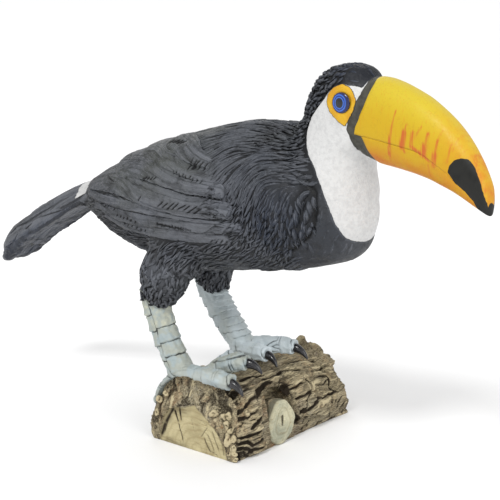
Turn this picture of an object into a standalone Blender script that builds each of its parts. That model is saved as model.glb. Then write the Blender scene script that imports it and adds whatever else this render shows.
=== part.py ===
"""A cast-resin statue of a toco toucan standing on a log, life size.

Metres, +Z up. The origin is the middle of the log's flat underside. The bird
faces +X and its left side is +Y. It stands across the log, which lies along Y.
Every sub-part is its own closed solid, with a thin gap to its neighbours.
"""
import math

import bmesh
import bpy
from mathutils import Matrix, Vector

# ---------------------------------------------------------------- dimensions
GAP = 0.0003                 # clearance between two pieces that touch
BIRD_Y = -0.038              # the bird's middle plane, right of the log's middle

BODY_SIDES = 22              # corners of a section of the trunk
NECK_SIDES = 22
LIMB_SIDES = 12
THIGH_SIDES = 14
TOE_SIDES = 8
CLAW_SIDES = 6

LOG_HALF_LENGTH = 0.086
LOG_HALF_WIDTH = 0.051
LOG_TOP = 0.067
LOG_POWER = 2.6              # superellipse power of the log's half-round
LOG_WORN_END = 0.008         # the far end is worn lower
LOG_FOOT = 0.0025            # small chamfer round the underside

KNOT_Y = -0.021              # a sawn branch stub on the log's front
KNOT_Z = 0.0275
KNOT_HALF_WIDTH = 0.018
KNOT_HALF_HEIGHT = 0.0245
KNOT_ROOT_X = 0.028
KNOT_FACE_X = 0.0525

HEAD_PIVOT_X = 0.105         # vertical axis that the head turns about
HEAD_TURN = math.radians(-8)  # a little to the bird's right
HEAD_CUT_Z = 0.293           # between neck and head, at the pivot
HEAD_CUT_TILT = math.radians(18)
NECK_CUT_Z = 0.261           # between trunk and neck, at the pivot
NECK_CUT_TILT = math.radians(50)
BILL_CUT_X = 0.059           # from the pivot to the bill's root
MOUTH_ROOT_Z = 0.2945        # height of the mouth line at the bill's root
TAIL_CUT_X = -0.1655

LEG_SPREAD = 0.037           # each foot from the bird's middle plane
LEG_TOP_Z = 0.140            # above this the legs lean in
THIGH_LEAN = 0.16
EYE_PLACE = Vector((0.0445, 0.0235, 0.3205))
EYE_RADIUS = 0.0082
EYE_BULGE = 0.0032

WING_PROUD = 0.0035          # how far a wing stands out of the trunk
WING_THICK = 0.0130

# The trunk from the rump to the chest: x, top, bottom, half width.
TRUNK = (
    (-0.172, 0.2190, 0.1960, 0.016),
    (-0.150, 0.2320, 0.1830, 0.025),
    (-0.120, 0.2480, 0.1700, 0.034),
    (-0.080, 0.2660, 0.1600, 0.043),
    (-0.040, 0.2795, 0.1565, 0.049),
    (0.000, 0.2895, 0.1570, 0.052),
    (0.040, 0.2970, 0.1635, 0.052),
    (0.075, 0.2980, 0.1695, 0.049),
    (0.105, 0.2920, 0.1755, 0.045),
    (0.130, 0.2760, 0.1840, 0.038),
    (0.147, 0.2560, 0.1970, 0.026),
)

# The neck and head from the chest up: z, nape and throat from the pivot, half width.
NECK = (
    (0.205, -0.026, 0.042, 0.036),
    (0.225, -0.033, 0.048, 0.040),
    (0.245, -0.034, 0.050, 0.040),
    (0.262, -0.032, 0.0475, 0.037),
    (0.276, -0.028, 0.0485, 0.033),
    (0.290, -0.0215, 0.060, 0.028),
    (0.305, -0.0155, 0.066, 0.026),
    (0.320, -0.010, 0.066, 0.0255),
    (0.332, -0.004, 0.064, 0.024),
    (0.341, 0.004, 0.0600, 0.021),
    (0.347, 0.013, 0.0550, 0.016),
    (0.3505, 0.022, 0.0460, 0.009),
)

# The bill from its root to its tip: x, ridge height, keel height, half width.
BILL = (
    (0.045, 0.3405, 0.2745, 0.0200),
    (0.059, 0.3415, 0.2740, 0.0205),
    (0.075, 0.3408, 0.2725, 0.0200),
    (0.095, 0.3355, 0.2705, 0.0190),
    (0.115, 0.3275, 0.2675, 0.0175),
    (0.134, 0.3165, 0.2625, 0.0155),
    (0.151, 0.3020, 0.2565, 0.0130),
    (0.164, 0.2870, 0.2505, 0.0102),
    (0.173, 0.2725, 0.2465, 0.0075),
    (0.1770, 0.2600, 0.2450, 0.0045),
)

# The mouth line from the bill's root forward: x, z.
MOUTH = (
    (0.030, 0.2950),
    (0.053, 0.2945),
    (0.070, 0.2935),
    (0.100, 0.2915),
    (0.122, 0.2865),
    (0.142, 0.2750),
    (0.158, 0.2610),
    (0.168, 0.2500),
    (0.190, 0.2300),
)

# A wing from its bend to its tip: x, upper and lower edge as angles round the
# trunk (degrees above level), and the share of the full thickness.
WING = (
    (0.110, 10, -14, 0.45),
    (0.097, 36, -36, 0.80),
    (0.072, 52, -48, 1.00),
    (0.040, 60, -52, 1.00),
    (0.000, 64, -50, 1.00),
    (-0.040, 67, -46, 1.00),
    (-0.080, 70, -40, 0.95),
    (-0.110, 72, -30, 0.85),
    (-0.135, 70, -16, 0.75),
    (-0.152, 64, 2, 0.60),
    (-0.164, 50, 20, 0.45),
)

# The tail along its own slope from the root: distance, half width, ridge
# height and hem depth.
TAIL_ROOT = Vector((-0.152, 0.0, 0.2170))
TAIL_SLOPE = math.radians(-28.5)
TAIL = (
    (0.000, 0.0150, 0.0110, 0.0090),
    (0.020, 0.0200, 0.0155, 0.0090),
    (0.060, 0.0235, 0.0185, 0.0095),
    (0.110, 0.0250, 0.0195, 0.0110),
    (0.143, 0.0240, 0.0170, 0.0130),
    (0.161, 0.0195, 0.0115, 0.0130),
    (0.170, 0.0110, 0.0040, 0.0110),
)

# A leg below the feathers: x, z, half depth, half width, right leg then left.
RIGHT_SHANK = (
    (-0.0570, 0.140, 0.0135, 0.0125),
    (-0.0535, 0.127, 0.0130, 0.0122),
    (-0.0440, 0.102, 0.0122, 0.0112),
    (-0.0330, 0.083, 0.0120, 0.0108),
    (-0.0230, 0.069, 0.0118, 0.0105),
)
LEFT_SHANK = (
    (-0.0570, 0.140, 0.0140, 0.0130),
    (-0.0520, 0.127, 0.0135, 0.0125),
    (-0.0395, 0.108, 0.0130, 0.0118),
    (-0.0270, 0.093, 0.0128, 0.0115),
    (-0.0160, 0.081, 0.0122, 0.0110),
)
RIGHT_THIGH = (
    (-0.0280, 0.200, 0.0220, 0.0180),
    (-0.0335, 0.178, 0.0265, 0.0210),
    (-0.0400, 0.160, 0.0300, 0.0205),
    (-0.0460, 0.145, 0.0265, 0.0185),
    (-0.0520, 0.131, 0.0185, 0.0155),
    (-0.0530, 0.1260, 0.0145, 0.0120),
)
LEFT_THIGH = (
    (-0.0360, 0.200, 0.0220, 0.0180),
    (-0.0410, 0.178, 0.0255, 0.0210),
    (-0.0445, 0.160, 0.0250, 0.0200),
    (-0.0470, 0.145, 0.0215, 0.0180),
    (-0.0495, 0.131, 0.0175, 0.0155),
    (-0.0505, 0.1260, 0.0140, 0.0120),
)

# Toes as x, sideways from the foot's middle (outward is plus), z, radius.
RIGHT_TOES = {
    "outer_front": ((-0.020, 0.000, 0.0665, 0.0085), (-0.002, 0.003, 0.0685, 0.0080),
                    (0.016, 0.005, 0.0712, 0.0080), (0.031, 0.005, 0.0712, 0.0078),
                    (0.040, 0.005, 0.0700, 0.0070)),
    "inner_front": ((-0.018, -0.003, 0.0640, 0.0078), (-0.002, -0.010, 0.0665, 0.0070),
                    (0.014, -0.016, 0.0750, 0.0078), (0.028, -0.020, 0.0815, 0.0080),
                    (0.036, -0.022, 0.0810, 0.0072)),
    "outer_back": ((-0.022, 0.001, 0.0640, 0.0078), (-0.032, 0.002, 0.0570, 0.0068),
                   (-0.040, 0.003, 0.0485, 0.0063), (-0.0450, 0.003, 0.0400, 0.0060),
                   (-0.0475, 0.003, 0.0330, 0.0055)),
    "inner_back": ((-0.023, -0.004, 0.0645, 0.0072), (-0.032, -0.010, 0.0575, 0.0066),
                   (-0.0400, -0.015, 0.0495, 0.0062), (-0.0455, -0.019, 0.0400, 0.0058),
                   (-0.0480, -0.021, 0.0330, 0.0053)),
}
LEFT_TOES = {
    "outer_front": ((-0.010, 0.001, 0.0775, 0.0085), (0.004, 0.005, 0.0790, 0.0080),
                    (0.019, 0.009, 0.0810, 0.0080), (0.032, 0.011, 0.0825, 0.0078),
                    (0.039, 0.012, 0.0815, 0.0068)),
    "inner_front": ((-0.009, -0.003, 0.0755, 0.0080), (0.003, -0.007, 0.0765, 0.0078),
                    (0.013, -0.010, 0.0775, 0.0076), (0.022, -0.012, 0.0785, 0.0074),
                    (0.027, -0.013, 0.0780, 0.0066)),
    "outer_back": ((-0.014, 0.002, 0.0700, 0.0080), (-0.024, 0.006, 0.0630, 0.0066),
                   (-0.034, 0.010, 0.0550, 0.0063), (-0.0430, 0.013, 0.0460, 0.0060),
                   (-0.048, 0.014, 0.0380, 0.0055)),
    "inner_back": ((-0.015, -0.003, 0.0695, 0.0075), (-0.024, -0.008, 0.0630, 0.0064),
                   (-0.034, -0.012, 0.0550, 0.0061), (-0.0430, -0.014, 0.0460, 0.0058),
                   (-0.048, -0.015, 0.0380, 0.0053)),
}
SIDES = ((1, "left"), (-1, "right"))
SHANK = {1: LEFT_SHANK, -1: RIGHT_SHANK}
THIGH = {1: LEFT_THIGH, -1: RIGHT_THIGH}
TOES = {1: LEFT_TOES, -1: RIGHT_TOES}
CLAW_LENGTH = 0.0175
CLAW_DROP = math.radians(62)  # how far a claw bends down from its toe

# sRGB colour, roughness, metallic of each finish
FINISHES = {
    "black_paint": ((0.21, 0.22, 0.24), 0.62, 0.0),
    "white_paint": ((0.90, 0.90, 0.89), 0.70, 0.0),
    "bill_paint": ((0.90, 0.74, 0.16), 0.50, 0.0),
    "eye_paint": ((0.16, 0.28, 0.66), 0.20, 0.0),
    "leg_paint": ((0.67, 0.71, 0.70), 0.60, 0.0),
    "claw_paint": ((0.13, 0.13, 0.14), 0.30, 0.0),
    "bark_paint": ((0.50, 0.42, 0.30), 0.75, 0.0),
    "sawn_paint": ((0.76, 0.72, 0.54), 0.72, 0.0),
}

OBJECT_NAME = "toco_toucan_statue"


# ------------------------------------------------------------------- helpers
def clear_scene():
    for item in list(bpy.context.scene.objects):
        bpy.data.objects.remove(item, do_unlink=True)


def make_collection(name):
    collection = bpy.data.collections.new(name)
    bpy.context.scene.collection.children.link(collection)
    return collection


def make_material(name):
    colour, roughness, metallic = FINISHES[name]
    material = bpy.data.materials.new(name)
    material.use_nodes = True
    shader = material.node_tree.nodes["Principled BSDF"]
    linear = [(c / 12.92 if c <= 0.04045 else ((c + 0.055) / 1.055) ** 2.4) for c in colour]
    shader.inputs["Base Color"].default_value = (*linear, 1.0)
    shader.inputs["Roughness"].default_value = roughness
    shader.inputs["Metallic"].default_value = metallic
    material.diffuse_color = (*linear, 1.0)
    return material


def smooth_rows(rows, steps):
    """Rows of numbers read along a smooth curve, `steps` to each interval."""
    points = [Vector(row) for row in rows]
    points = [2 * points[0] - points[1]] + points + [2 * points[-1] - points[-2]]
    result = []
    for a, b, c, d in zip(points, points[1:], points[2:], points[3:]):
        for i in range(steps):
            t = i / steps
            result.append(0.5 * (2 * b + (c - a) * t + (2 * a - 5 * b + 4 * c - d) * t * t
                                 + (3 * b - a - 3 * c + d) * t ** 3))
    result.append(points[-2])
    return result


def value_at(rows, x, column):
    """One column of a table, read at x along its first column."""
    ordered = sorted(rows, key=lambda row: row[0])
    if x <= ordered[0][0]:
        return ordered[0][column]
    for low, high in zip(ordered, ordered[1:]):
        if x <= high[0]:
            share = (x - low[0]) / (high[0] - low[0])
            return low[column] + share * (high[column] - low[column])
    return ordered[-1][column]


def oval(centre, side, up, half_side, half_up, corners, power=2.0):
    """A closed superellipse of points round `centre`."""
    points = []
    for i in range(corners):
        angle = 2 * math.pi * i / corners
        c = math.cos(angle)
        s = math.sin(angle)
        across = math.copysign(abs(c) ** (2 / power), c) * half_side
        upward = math.copysign(abs(s) ** (2 / power), s) * half_up
        points.append(centre + side * across + up * upward)
    return points


def loft(name, sections):
    """A closed solid through sections with the same number of corners."""
    bm = bmesh.new()
    rings = [[bm.verts.new(point) for point in section] for section in sections]
    for near, far in zip(rings, rings[1:]):
        count = len(near)
        for i in range(count):
            j = (i + 1) % count
            bm.faces.new((near[i], near[j], far[j], far[i]))
    for ring in (rings[0], rings[-1]):
        middle = bm.verts.new(sum((v.co for v in ring), Vector()) / len(ring))
        for i, vert in enumerate(ring):
            bm.faces.new((vert, ring[(i + 1) % len(ring)], middle))
    return finish_mesh(name, bm)


def finish_mesh(name, bm):
    bmesh.ops.remove_doubles(bm, verts=bm.verts, dist=0.00002)
    bmesh.ops.recalc_face_normals(bm, faces=bm.faces)
    bmesh.ops.triangulate(bm, faces=bm.faces)
    mesh = bpy.data.meshes.new(name)
    bm.to_mesh(mesh)
    bm.free()
    item = bpy.data.objects.new(name, mesh)
    bpy.context.scene.collection.objects.link(item)
    return item


def tube(name, rows, corners, grow=0.0, steps=2):
    """A solid along a path in the XZ plane: rows of x, y, z, half depth, half width."""
    stations = smooth_rows(rows, steps)
    sections = []
    for i, row in enumerate(stations):
        before = stations[max(i - 1, 0)]
        after = stations[min(i + 1, len(stations) - 1)]
        along = (Vector(after[:3]) - Vector(before[:3])).normalized()
        side = along.cross(Vector((0, 1, 0)))
        side.normalize()
        across = side.cross(along)
        centre = Vector(row[:3])
        if i == 0:
            centre = centre - along * grow
        if i == len(stations) - 1:
            centre = centre + along * grow
        sections.append(oval(centre, side, across, row[3] + grow, row[4] + grow, corners))
    return loft(name, sections)


def box(name, low, high):
    bm = bmesh.new()
    bmesh.ops.create_cube(bm, size=1.0)
    low = Vector(low)
    high = Vector(high)
    size = high - low
    bmesh.ops.scale(bm, verts=bm.verts, vec=size)
    bmesh.ops.translate(bm, verts=bm.verts, vec=(low + high) / 2)
    return finish_mesh(name, bm)


def move_mesh(item, matrix):
    item.data.transform(matrix)
    return item


def combine(item, other, operation, keep=False):
    """Cut, join or intersect `item` with `other` and bake the result."""
    modifier = item.modifiers.new("combine", "BOOLEAN")
    modifier.operation = operation
    modifier.solver = "EXACT"
    modifier.object = other
    graph = bpy.context.evaluated_depsgraph_get()
    mesh = bpy.data.meshes.new_from_object(item.evaluated_get(graph))
    item.modifiers.clear()
    old = item.data
    item.data = mesh
    bpy.data.meshes.remove(old)
    if not keep:
        bpy.data.objects.remove(other, do_unlink=True)
    return item


def tidy_mesh(item):
    """Joins facets that lie in one plane, splits all into triangles, drops crumbs."""
    for flatness in (0.4, 0.0):
        bm = bmesh.new()
        bm.from_mesh(item.data)
        if flatness:
            bmesh.ops.remove_doubles(bm, verts=bm.verts, dist=0.00001)
            bmesh.ops.dissolve_limit(bm, angle_limit=math.radians(flatness),
                                     verts=bm.verts, edges=bm.edges)
        bmesh.ops.triangulate(bm, faces=bm.faces)
        drop_crumbs(bm)
        closed = all(len(edge.link_faces) == 2 for edge in bm.edges)
        if closed or not flatness:
            bm.to_mesh(item.data)
            bm.free()
            return
        bm.free()


def drop_crumbs(bm):
    """Keeps the largest closed body and deletes the small ones beside it."""
    left = set(bm.faces)
    bodies = []
    while left:
        body = set()
        waiting = [left.pop()]
        while waiting:
            face = waiting.pop()
            body.add(face)
            neighbours = {other for edge in face.edges for other in edge.link_faces}
            waiting.extend(neighbours & left)
            left -= neighbours
        bodies.append(body)
    bodies.sort(key=lambda body: sum(face.calc_area() for face in body))
    for body in bodies[:-1]:
        bmesh.ops.delete(bm, geom=list(body), context="FACES")


def copy_of(item, name):
    twin = bpy.data.objects.new(name, item.data.copy())
    bpy.context.scene.collection.objects.link(twin)
    return twin


def keep_one_side(item, point, normal):
    """Cuts the item by a plane and keeps the side that the normal points to."""
    reach = 1.0
    block = box("block", (-reach, -reach, 0), (reach, reach, reach))
    turn = Vector(normal).to_track_quat("Z", "Y").to_matrix().to_4x4()
    move_mesh(block, Matrix.Translation(point) @ turn)
    return combine(item, block, "INTERSECT")


def split_by_plane(item, point, normal, name):
    """Parts the item by a thin cut: it keeps the front side, `name` gets the rest."""
    point = Vector(point)
    normal = Vector(normal).normalized()
    rest = copy_of(item, name)
    keep_one_side(item, point + normal * GAP / 2, normal)
    keep_one_side(rest, point - normal * GAP / 2, -normal)
    return rest


def file_away(item, material, collection):
    for owner in list(item.users_collection):
        owner.objects.unlink(item)
    collection.objects.link(item)
    tidy_mesh(item)
    item.data.materials.clear()
    item.data.materials.append(material)
    item.data.shade_smooth()
    item.data.set_sharp_from_angle(angle=math.radians(40))


# ------------------------------------------------------------------ log base
def log_solid(name, grow=0.0):
    """Half-round log with a flat underside and slightly uneven girth."""
    stations = 9
    arc = 16
    sections = []
    for i in range(stations):
        share = i / (stations - 1)
        y = (share - 0.5) * 2 * (LOG_HALF_LENGTH + grow)
        swell = 1.0 + 0.02 * math.sin(2.2 * math.pi * share + 0.6)
        half_width = LOG_HALF_WIDTH * swell + grow
        lean = 0.0015 * math.sin(math.pi * share * 1.6)
        worn = LOG_WORN_END * max(share - 0.72, 0.0) / 0.28
        top = LOG_TOP + 0.0035 * share - worn + grow
        power = LOG_POWER - 0.7 * max(share - 0.6, 0.0) / 0.4
        section = [Vector((-half_width + LOG_FOOT + lean, y, -grow)),
                   Vector((half_width - LOG_FOOT + lean, y, -grow))]
        for k in range(arc):
            angle = math.pi * (k + 0.5) / arc
            c = math.cos(angle)
            s = math.sin(angle)
            x = math.copysign(abs(c) ** (2 / power), c) * half_width
            z = LOG_FOOT + abs(s) ** (2 / power) * (top - LOG_FOOT)
            section.append(Vector((x + lean, y, z)))
        sections.append(section)
    return loft(name, sections)


def knot_solid(name, grow=0.0):
    """The stub of a sawn branch, a short oval drum facing forward."""
    sections = []
    drum = ((KNOT_ROOT_X - grow, 0.90), (0.047, 1.0), (KNOT_FACE_X, 0.90),
            (KNOT_FACE_X + grow, 0.89))
    for x, share in drum:
        centre = Vector((x, KNOT_Y, KNOT_Z))
        sections.append(oval(centre, Vector((0, 1, 0)), Vector((0, 0, 1)),
                             KNOT_HALF_WIDTH * share + grow, KNOT_HALF_HEIGHT * share + grow, 20, 2.3))
    return loft(name, sections)


# ---------------------------------------------------------------------- body
def trunk_solid(name, grow=0.0):
    sections = []
    rows = smooth_rows(TRUNK, 2)
    for i, (x, top, bottom, half_width) in enumerate(rows):
        if i == 0:
            x = x - grow
        if i == len(rows) - 1:
            x = x + grow
        centre = Vector((x, BIRD_Y, (top + bottom) / 2))
        sections.append(oval(centre, Vector((0, 1, 0)), Vector((0, 0, 1)), half_width + grow,
                             (top - bottom) / 2 + grow, BODY_SIDES))
    sections.append(oval(Vector((0.1555, BIRD_Y, 0.226)), Vector((0, 1, 0)), Vector((0, 0, 1)),
                         0.012 + grow, 0.012 + grow, BODY_SIDES))
    return loft(name, sections)


def head_matrix():
    """Turns what is drawn from the head's pivot into place."""
    place = Matrix.Translation((HEAD_PIVOT_X, BIRD_Y, 0.0))
    return place @ Matrix.Rotation(HEAD_TURN, 4, "Z")


def neck_solid(name):
    rows = smooth_rows(NECK, 1)
    lowest = rows[0][0]
    sections = []
    for z, nape, throat, half_width in rows:
        share = min(max((z - lowest) / (HEAD_CUT_Z - lowest), 0.0), 1.0)
        turn = Matrix.Rotation(HEAD_TURN * share, 4, "Z")
        middle = (nape + throat) / 2
        section = oval(Vector((middle, 0, z)), Vector((1, 0, 0)), Vector((0, 1, 0)),
                       (throat - nape) / 2, half_width, NECK_SIDES, 2.3)
        sections.append([Vector((HEAD_PIVOT_X, BIRD_Y, 0)) + turn @ point for point in section])
    return loft(name, sections)


def bill_solid(name):
    rows = smooth_rows(BILL, 1)
    sections = []
    for x, ridge, keel, half_width in rows:
        centre = Vector((x, 0, (ridge + keel) / 2))
        sections.append(oval(centre, Vector((0, 1, 0)), Vector((0, 0, 1)), half_width,
                             (ridge - keel) / 2, 18, 2.4))
    tip = Vector((0.1772, 0, 0.2462))
    sections.append(oval(tip, Vector((0, 1, 0)), Vector((0, 0, 1)), 0.0015, 0.0015, 18))
    return move_mesh(loft(name, sections), head_matrix())


def below_the_mouth(name, lift):
    """A block whose upper face follows the mouth line."""
    top = [(x, z + lift) for x, z in MOUTH]
    left = [Vector((x, 0.06, z)) for x, z in top] + [Vector((0.19, 0.06, 0.2)), Vector((0.03, 0.06, 0.2))]
    right = [Vector((point.x, -0.06, point.z)) for point in left]
    return move_mesh(loft(name, [left, right]), head_matrix())


def eye_solid(name, side, grow=0.0):
    """A low dome in the side of the head; side is +1 for the left."""
    bm = bmesh.new()
    bmesh.ops.create_uvsphere(bm, u_segments=12, v_segments=8, radius=1.0)
    size = Vector((EYE_RADIUS + grow, EYE_BULGE + grow, EYE_RADIUS + grow))
    bmesh.ops.scale(bm, verts=bm.verts, vec=size)
    tilt = Matrix.Rotation(-side * math.radians(7), 4, "Z")
    place = Matrix.Translation((EYE_PLACE.x, side * EYE_PLACE.y, EYE_PLACE.z))
    bmesh.ops.transform(bm, matrix=place @ tilt, verts=bm.verts)
    return move_mesh(finish_mesh(name, bm), head_matrix())


def wing_solid(name, side, grow=0.0):
    """A curved plate that lies in the trunk's side and stands a little proud."""
    arc = 7
    rows = smooth_rows(WING, 1)
    trunk_rows = smooth_rows(TRUNK, 2)
    sections = []
    for i, (x, upper, lower, share) in enumerate(rows):
        top = value_at(trunk_rows, x, 1)
        bottom = value_at(trunk_rows, x, 2)
        half_width = value_at(trunk_rows, x, 3)
        half_height = (top - bottom) / 2
        centre = Vector((x, BIRD_Y, (top + bottom) / 2))
        if i == 0:
            centre.x += grow
        if i == len(rows) - 1:
            centre.x -= grow
        thick = WING_THICK * share
        spread = math.degrees(grow / half_height)
        outer = []
        inner = []
        for k in range(arc + 1):
            angle = math.radians(lower - spread + (upper - lower + 2 * spread) * k / arc)
            ray = Vector((0, side * math.cos(angle), math.sin(angle)))
            edge = math.sin(math.pi * (k + 0.6) / (arc + 1.2)) ** 0.4
            reach = WING_PROUD * share * edge + grow
            outer.append(centre + Vector((0, ray.y * (half_width + reach), ray.z * (half_height + reach))))
            depth = thick * (0.55 + 0.45 * edge) + grow
            inner.append(centre + Vector((0, ray.y * (half_width - depth), ray.z * (half_height - depth))))
        sections.append(outer + inner[::-1])
    return loft(name, sections)


def tail_solid(name):
    """A closed fan of stiff feathers, roof-shaped across and rounded at its end."""
    along = Vector((-math.cos(TAIL_SLOPE), 0, math.sin(TAIL_SLOPE)))
    up = Vector((math.sin(TAIL_SLOPE), 0, math.cos(TAIL_SLOPE)))
    sections = []
    for distance, half_width, ridge, hem in smooth_rows(TAIL, 2):
        centre = TAIL_ROOT + Vector((0, BIRD_Y, 0)) + along * distance
        outline = ((0.0, ridge), (0.45, ridge * 0.80), (0.80, ridge * 0.25), (1.0, -hem * 0.55),
                   (0.93, -hem), (0.55, -hem * 0.92), (0.0, -hem * 0.75))
        right = [(-a, b) for a, b in outline[1:-1]]
        ring = list(outline) + right[::-1]
        sections.append([centre + Vector((0, a * half_width, 0)) + up * b for a, b in ring])
    return loft(name, sections)


# ---------------------------------------------------------------------- legs
def limb_rows(rows, side):
    """A leg's rows in place; the thigh leans in towards the body."""
    placed = []
    for x, z, depth, width in rows:
        lean = THIGH_LEAN * max(z - LEG_TOP_Z, 0.0)
        placed.append((x, BIRD_Y + side * (LEG_SPREAD - lean), z, depth, width))
    return placed


def foot_middle(toes, side):
    root = toes["outer_front"][0]
    return Vector((root[0] - 0.004, BIRD_Y + side * LEG_SPREAD, root[2] + 0.001))


def toe_rows(rows, side):
    y = BIRD_Y + side * LEG_SPREAD
    return [(x, y + side * out, z, radius, radius) for x, out, z, radius in rows]


def foot_solid(name, toes, side):
    """Two toes forward and two back, joined at the ankle."""
    bm = bmesh.new()
    bmesh.ops.create_uvsphere(bm, u_segments=12, v_segments=8, radius=1.0)
    bmesh.ops.scale(bm, verts=bm.verts, vec=(0.0135, 0.0118, 0.0120))
    bmesh.ops.translate(bm, verts=bm.verts, vec=foot_middle(toes, side))
    foot = finish_mesh(name, bm)
    for toe in toes.values():
        combine(foot, tube("toe", toe_rows(toe, side), TOE_SIDES, steps=1), "UNION")
    return foot


def claw_solid(name, toe, side):
    """A tapering claw that leaves the toe's end and bends down."""
    rows = toe_rows(toe, side)
    end = Vector(rows[-1][:3])
    before = Vector(rows[-2][:3])
    along = (end - before).normalized()
    down = Vector((0, 0, -1))
    if along.z < -0.5:
        down = Vector((1, 0, -0.4)).normalized()
    down = (down - along * down.dot(along)).normalized()
    radius = rows[-1][3] * 0.78
    path = []
    steps = 5
    point = end + along * GAP
    for i in range(steps + 1):
        share = i / steps
        bend = CLAW_DROP * share
        left = 1.0 - 0.86 * share ** 1.3
        path.append((*point, radius * left, radius * 0.85 * left))
        heading = along * math.cos(bend) + down * math.sin(bend)
        point = point + heading * CLAW_LENGTH / steps
    return tube(name, path, CLAW_SIDES, steps=1)


# ------------------------------------------------------------------ assembly
def build():
    clear_scene()
    parts = make_collection(OBJECT_NAME)
    materials = {name: make_material(name) for name in FINISHES}
    finished = []

    def put(item, finish):
        finished.append((item, finish))
        return item

    # the log and its knot
    log = log_solid("log")
    combine(log, knot_solid("knot_pocket", GAP), "DIFFERENCE")
    put(log, "bark_paint")
    put(knot_solid("log_knot"), "sawn_paint")
    bed = log_solid("log_bed", GAP)

    # trunk, neck and head as one form, with pockets for what is let into it
    trunk = trunk_solid("trunk")
    combine(trunk, neck_solid("neck"), "UNION")
    for side, label in SIDES:
        combine(trunk, wing_solid("pocket", side, GAP), "DIFFERENCE")
        combine(trunk, tube("pocket", limb_rows(THIGH[side], side), THIGH_SIDES, GAP), "DIFFERENCE")
        put(wing_solid("wing_" + label, side), "black_paint")
        put(eye_solid("eye_" + label, side), "eye_paint")

    # then parted by thin cuts
    up = Vector((0, 0, 1))
    neck_way = Matrix.Rotation(NECK_CUT_TILT, 3, "Y") @ up
    neck = split_by_plane(trunk, (HEAD_PIVOT_X, BIRD_Y, NECK_CUT_Z), -neck_way, "neck")
    head_way = Matrix.Rotation(HEAD_CUT_TILT, 3, "Y") @ up
    head = split_by_plane(neck, (HEAD_PIVOT_X, BIRD_Y, HEAD_CUT_Z), -head_way, "head")
    for side, label in SIDES:
        combine(head, eye_solid("pocket", side, GAP), "DIFFERENCE")
    put(neck, "white_paint")
    put(head, "black_paint")

    # the bill stands against the front of the head
    facing = Matrix.Rotation(HEAD_TURN, 3, "Z") @ Vector((1, 0, 0))
    root = Vector((HEAD_PIVOT_X, BIRD_Y, MOUTH_ROOT_Z)) + facing * BILL_CUT_X
    keep_one_side(head, root - facing * GAP / 2, -facing)
    keep_one_side(neck, root - facing * GAP / 2, -facing)
    upper = keep_one_side(bill_solid("bill_upper"), root + facing * GAP / 2, facing)
    lower = combine(copy_of(upper, "bill_lower"), below_the_mouth("below", -GAP / 2), "INTERSECT")
    combine(upper, below_the_mouth("below", GAP / 2), "DIFFERENCE")
    put(upper, "bill_paint")
    put(lower, "bill_paint")

    # tail behind a thin cut
    keep_one_side(trunk, (TAIL_CUT_X + GAP, BIRD_Y, 0.2), (1, 0, 0))
    tail = keep_one_side(tail_solid("tail"), (TAIL_CUT_X, BIRD_Y, 0.2), (-1, 0, 0))
    put(tail, "black_paint")
    put(trunk, "black_paint")

    # legs from the thigh down
    for side, label in SIDES:
        shank = tube("shank_" + label, limb_rows(SHANK[side], side), LIMB_SIDES)
        foot = foot_solid("foot_" + label, TOES[side], side)
        combine(foot, tube("pocket", limb_rows(SHANK[side], side), LIMB_SIDES, GAP), "DIFFERENCE")
        combine(foot, bed, "DIFFERENCE", keep=True)
        thigh = tube("thigh_" + label, limb_rows(THIGH[side], side), THIGH_SIDES)
        combine(thigh, tube("pocket", limb_rows(SHANK[side], side), LIMB_SIDES, GAP), "DIFFERENCE")
        combine(thigh, wing_solid("pocket", side, GAP), "DIFFERENCE")
        put(shank, "leg_paint")
        put(foot, "leg_paint")
        put(thigh, "black_paint")
        for toe_name, toe in TOES[side].items():
            claw = claw_solid("claw_" + label + "_" + toe_name, toe, side)
            combine(claw, bed, "DIFFERENCE", keep=True)
            put(claw, "claw_paint")
    bpy.data.objects.remove(bed, do_unlink=True)

    for item, finish in finished:
        file_away(item, materials[finish], parts)


build()
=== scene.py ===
"""Toco toucan statue in painted cast resin on a log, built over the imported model.

Metres, +Z up, +X the way the bird faces, +Y its left. The origin is the middle
of the log's underside.
"""

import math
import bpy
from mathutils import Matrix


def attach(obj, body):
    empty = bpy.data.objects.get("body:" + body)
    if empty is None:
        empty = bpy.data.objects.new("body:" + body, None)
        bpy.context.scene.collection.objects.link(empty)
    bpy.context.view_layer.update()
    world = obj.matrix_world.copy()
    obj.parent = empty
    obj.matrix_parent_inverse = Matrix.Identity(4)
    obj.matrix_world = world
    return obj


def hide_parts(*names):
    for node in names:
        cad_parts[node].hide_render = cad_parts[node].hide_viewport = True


bl_info = {
    "name": "Toco toucan statue",
    "version": (1, 0, 0),
    "blender": (4, 5, 0),
    "location": "3D View > Sidebar > Toucan",
    "description": "Builds the skin, carved feathers, bill, legs and log of the statue",
    "category": "Object",
}

from functools import partial

import bmesh
import bpy
import numpy as np
from mathutils import Matrix, Vector
from mathutils.bvhtree import BVHTree

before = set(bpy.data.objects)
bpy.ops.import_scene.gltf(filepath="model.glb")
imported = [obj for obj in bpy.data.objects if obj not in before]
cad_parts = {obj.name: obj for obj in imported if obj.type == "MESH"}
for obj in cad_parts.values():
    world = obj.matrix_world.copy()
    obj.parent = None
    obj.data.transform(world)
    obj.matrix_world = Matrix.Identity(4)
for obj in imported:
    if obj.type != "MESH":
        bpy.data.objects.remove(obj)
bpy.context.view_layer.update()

MM = 0.001
BIRD_Y = -0.038                      # the bird's middle plane
PIVOT_X = 0.105                      # the head turns about this upright line
HEAD_TURN = math.radians(-8)
TURN_LOW, TURN_HIGH = 0.205, 0.293   # the neck turns between these heights
TAIL_ROOT = np.array([-0.152, BIRD_Y, 0.2170])
TAIL_SLOPE = math.radians(-28.5)

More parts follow.
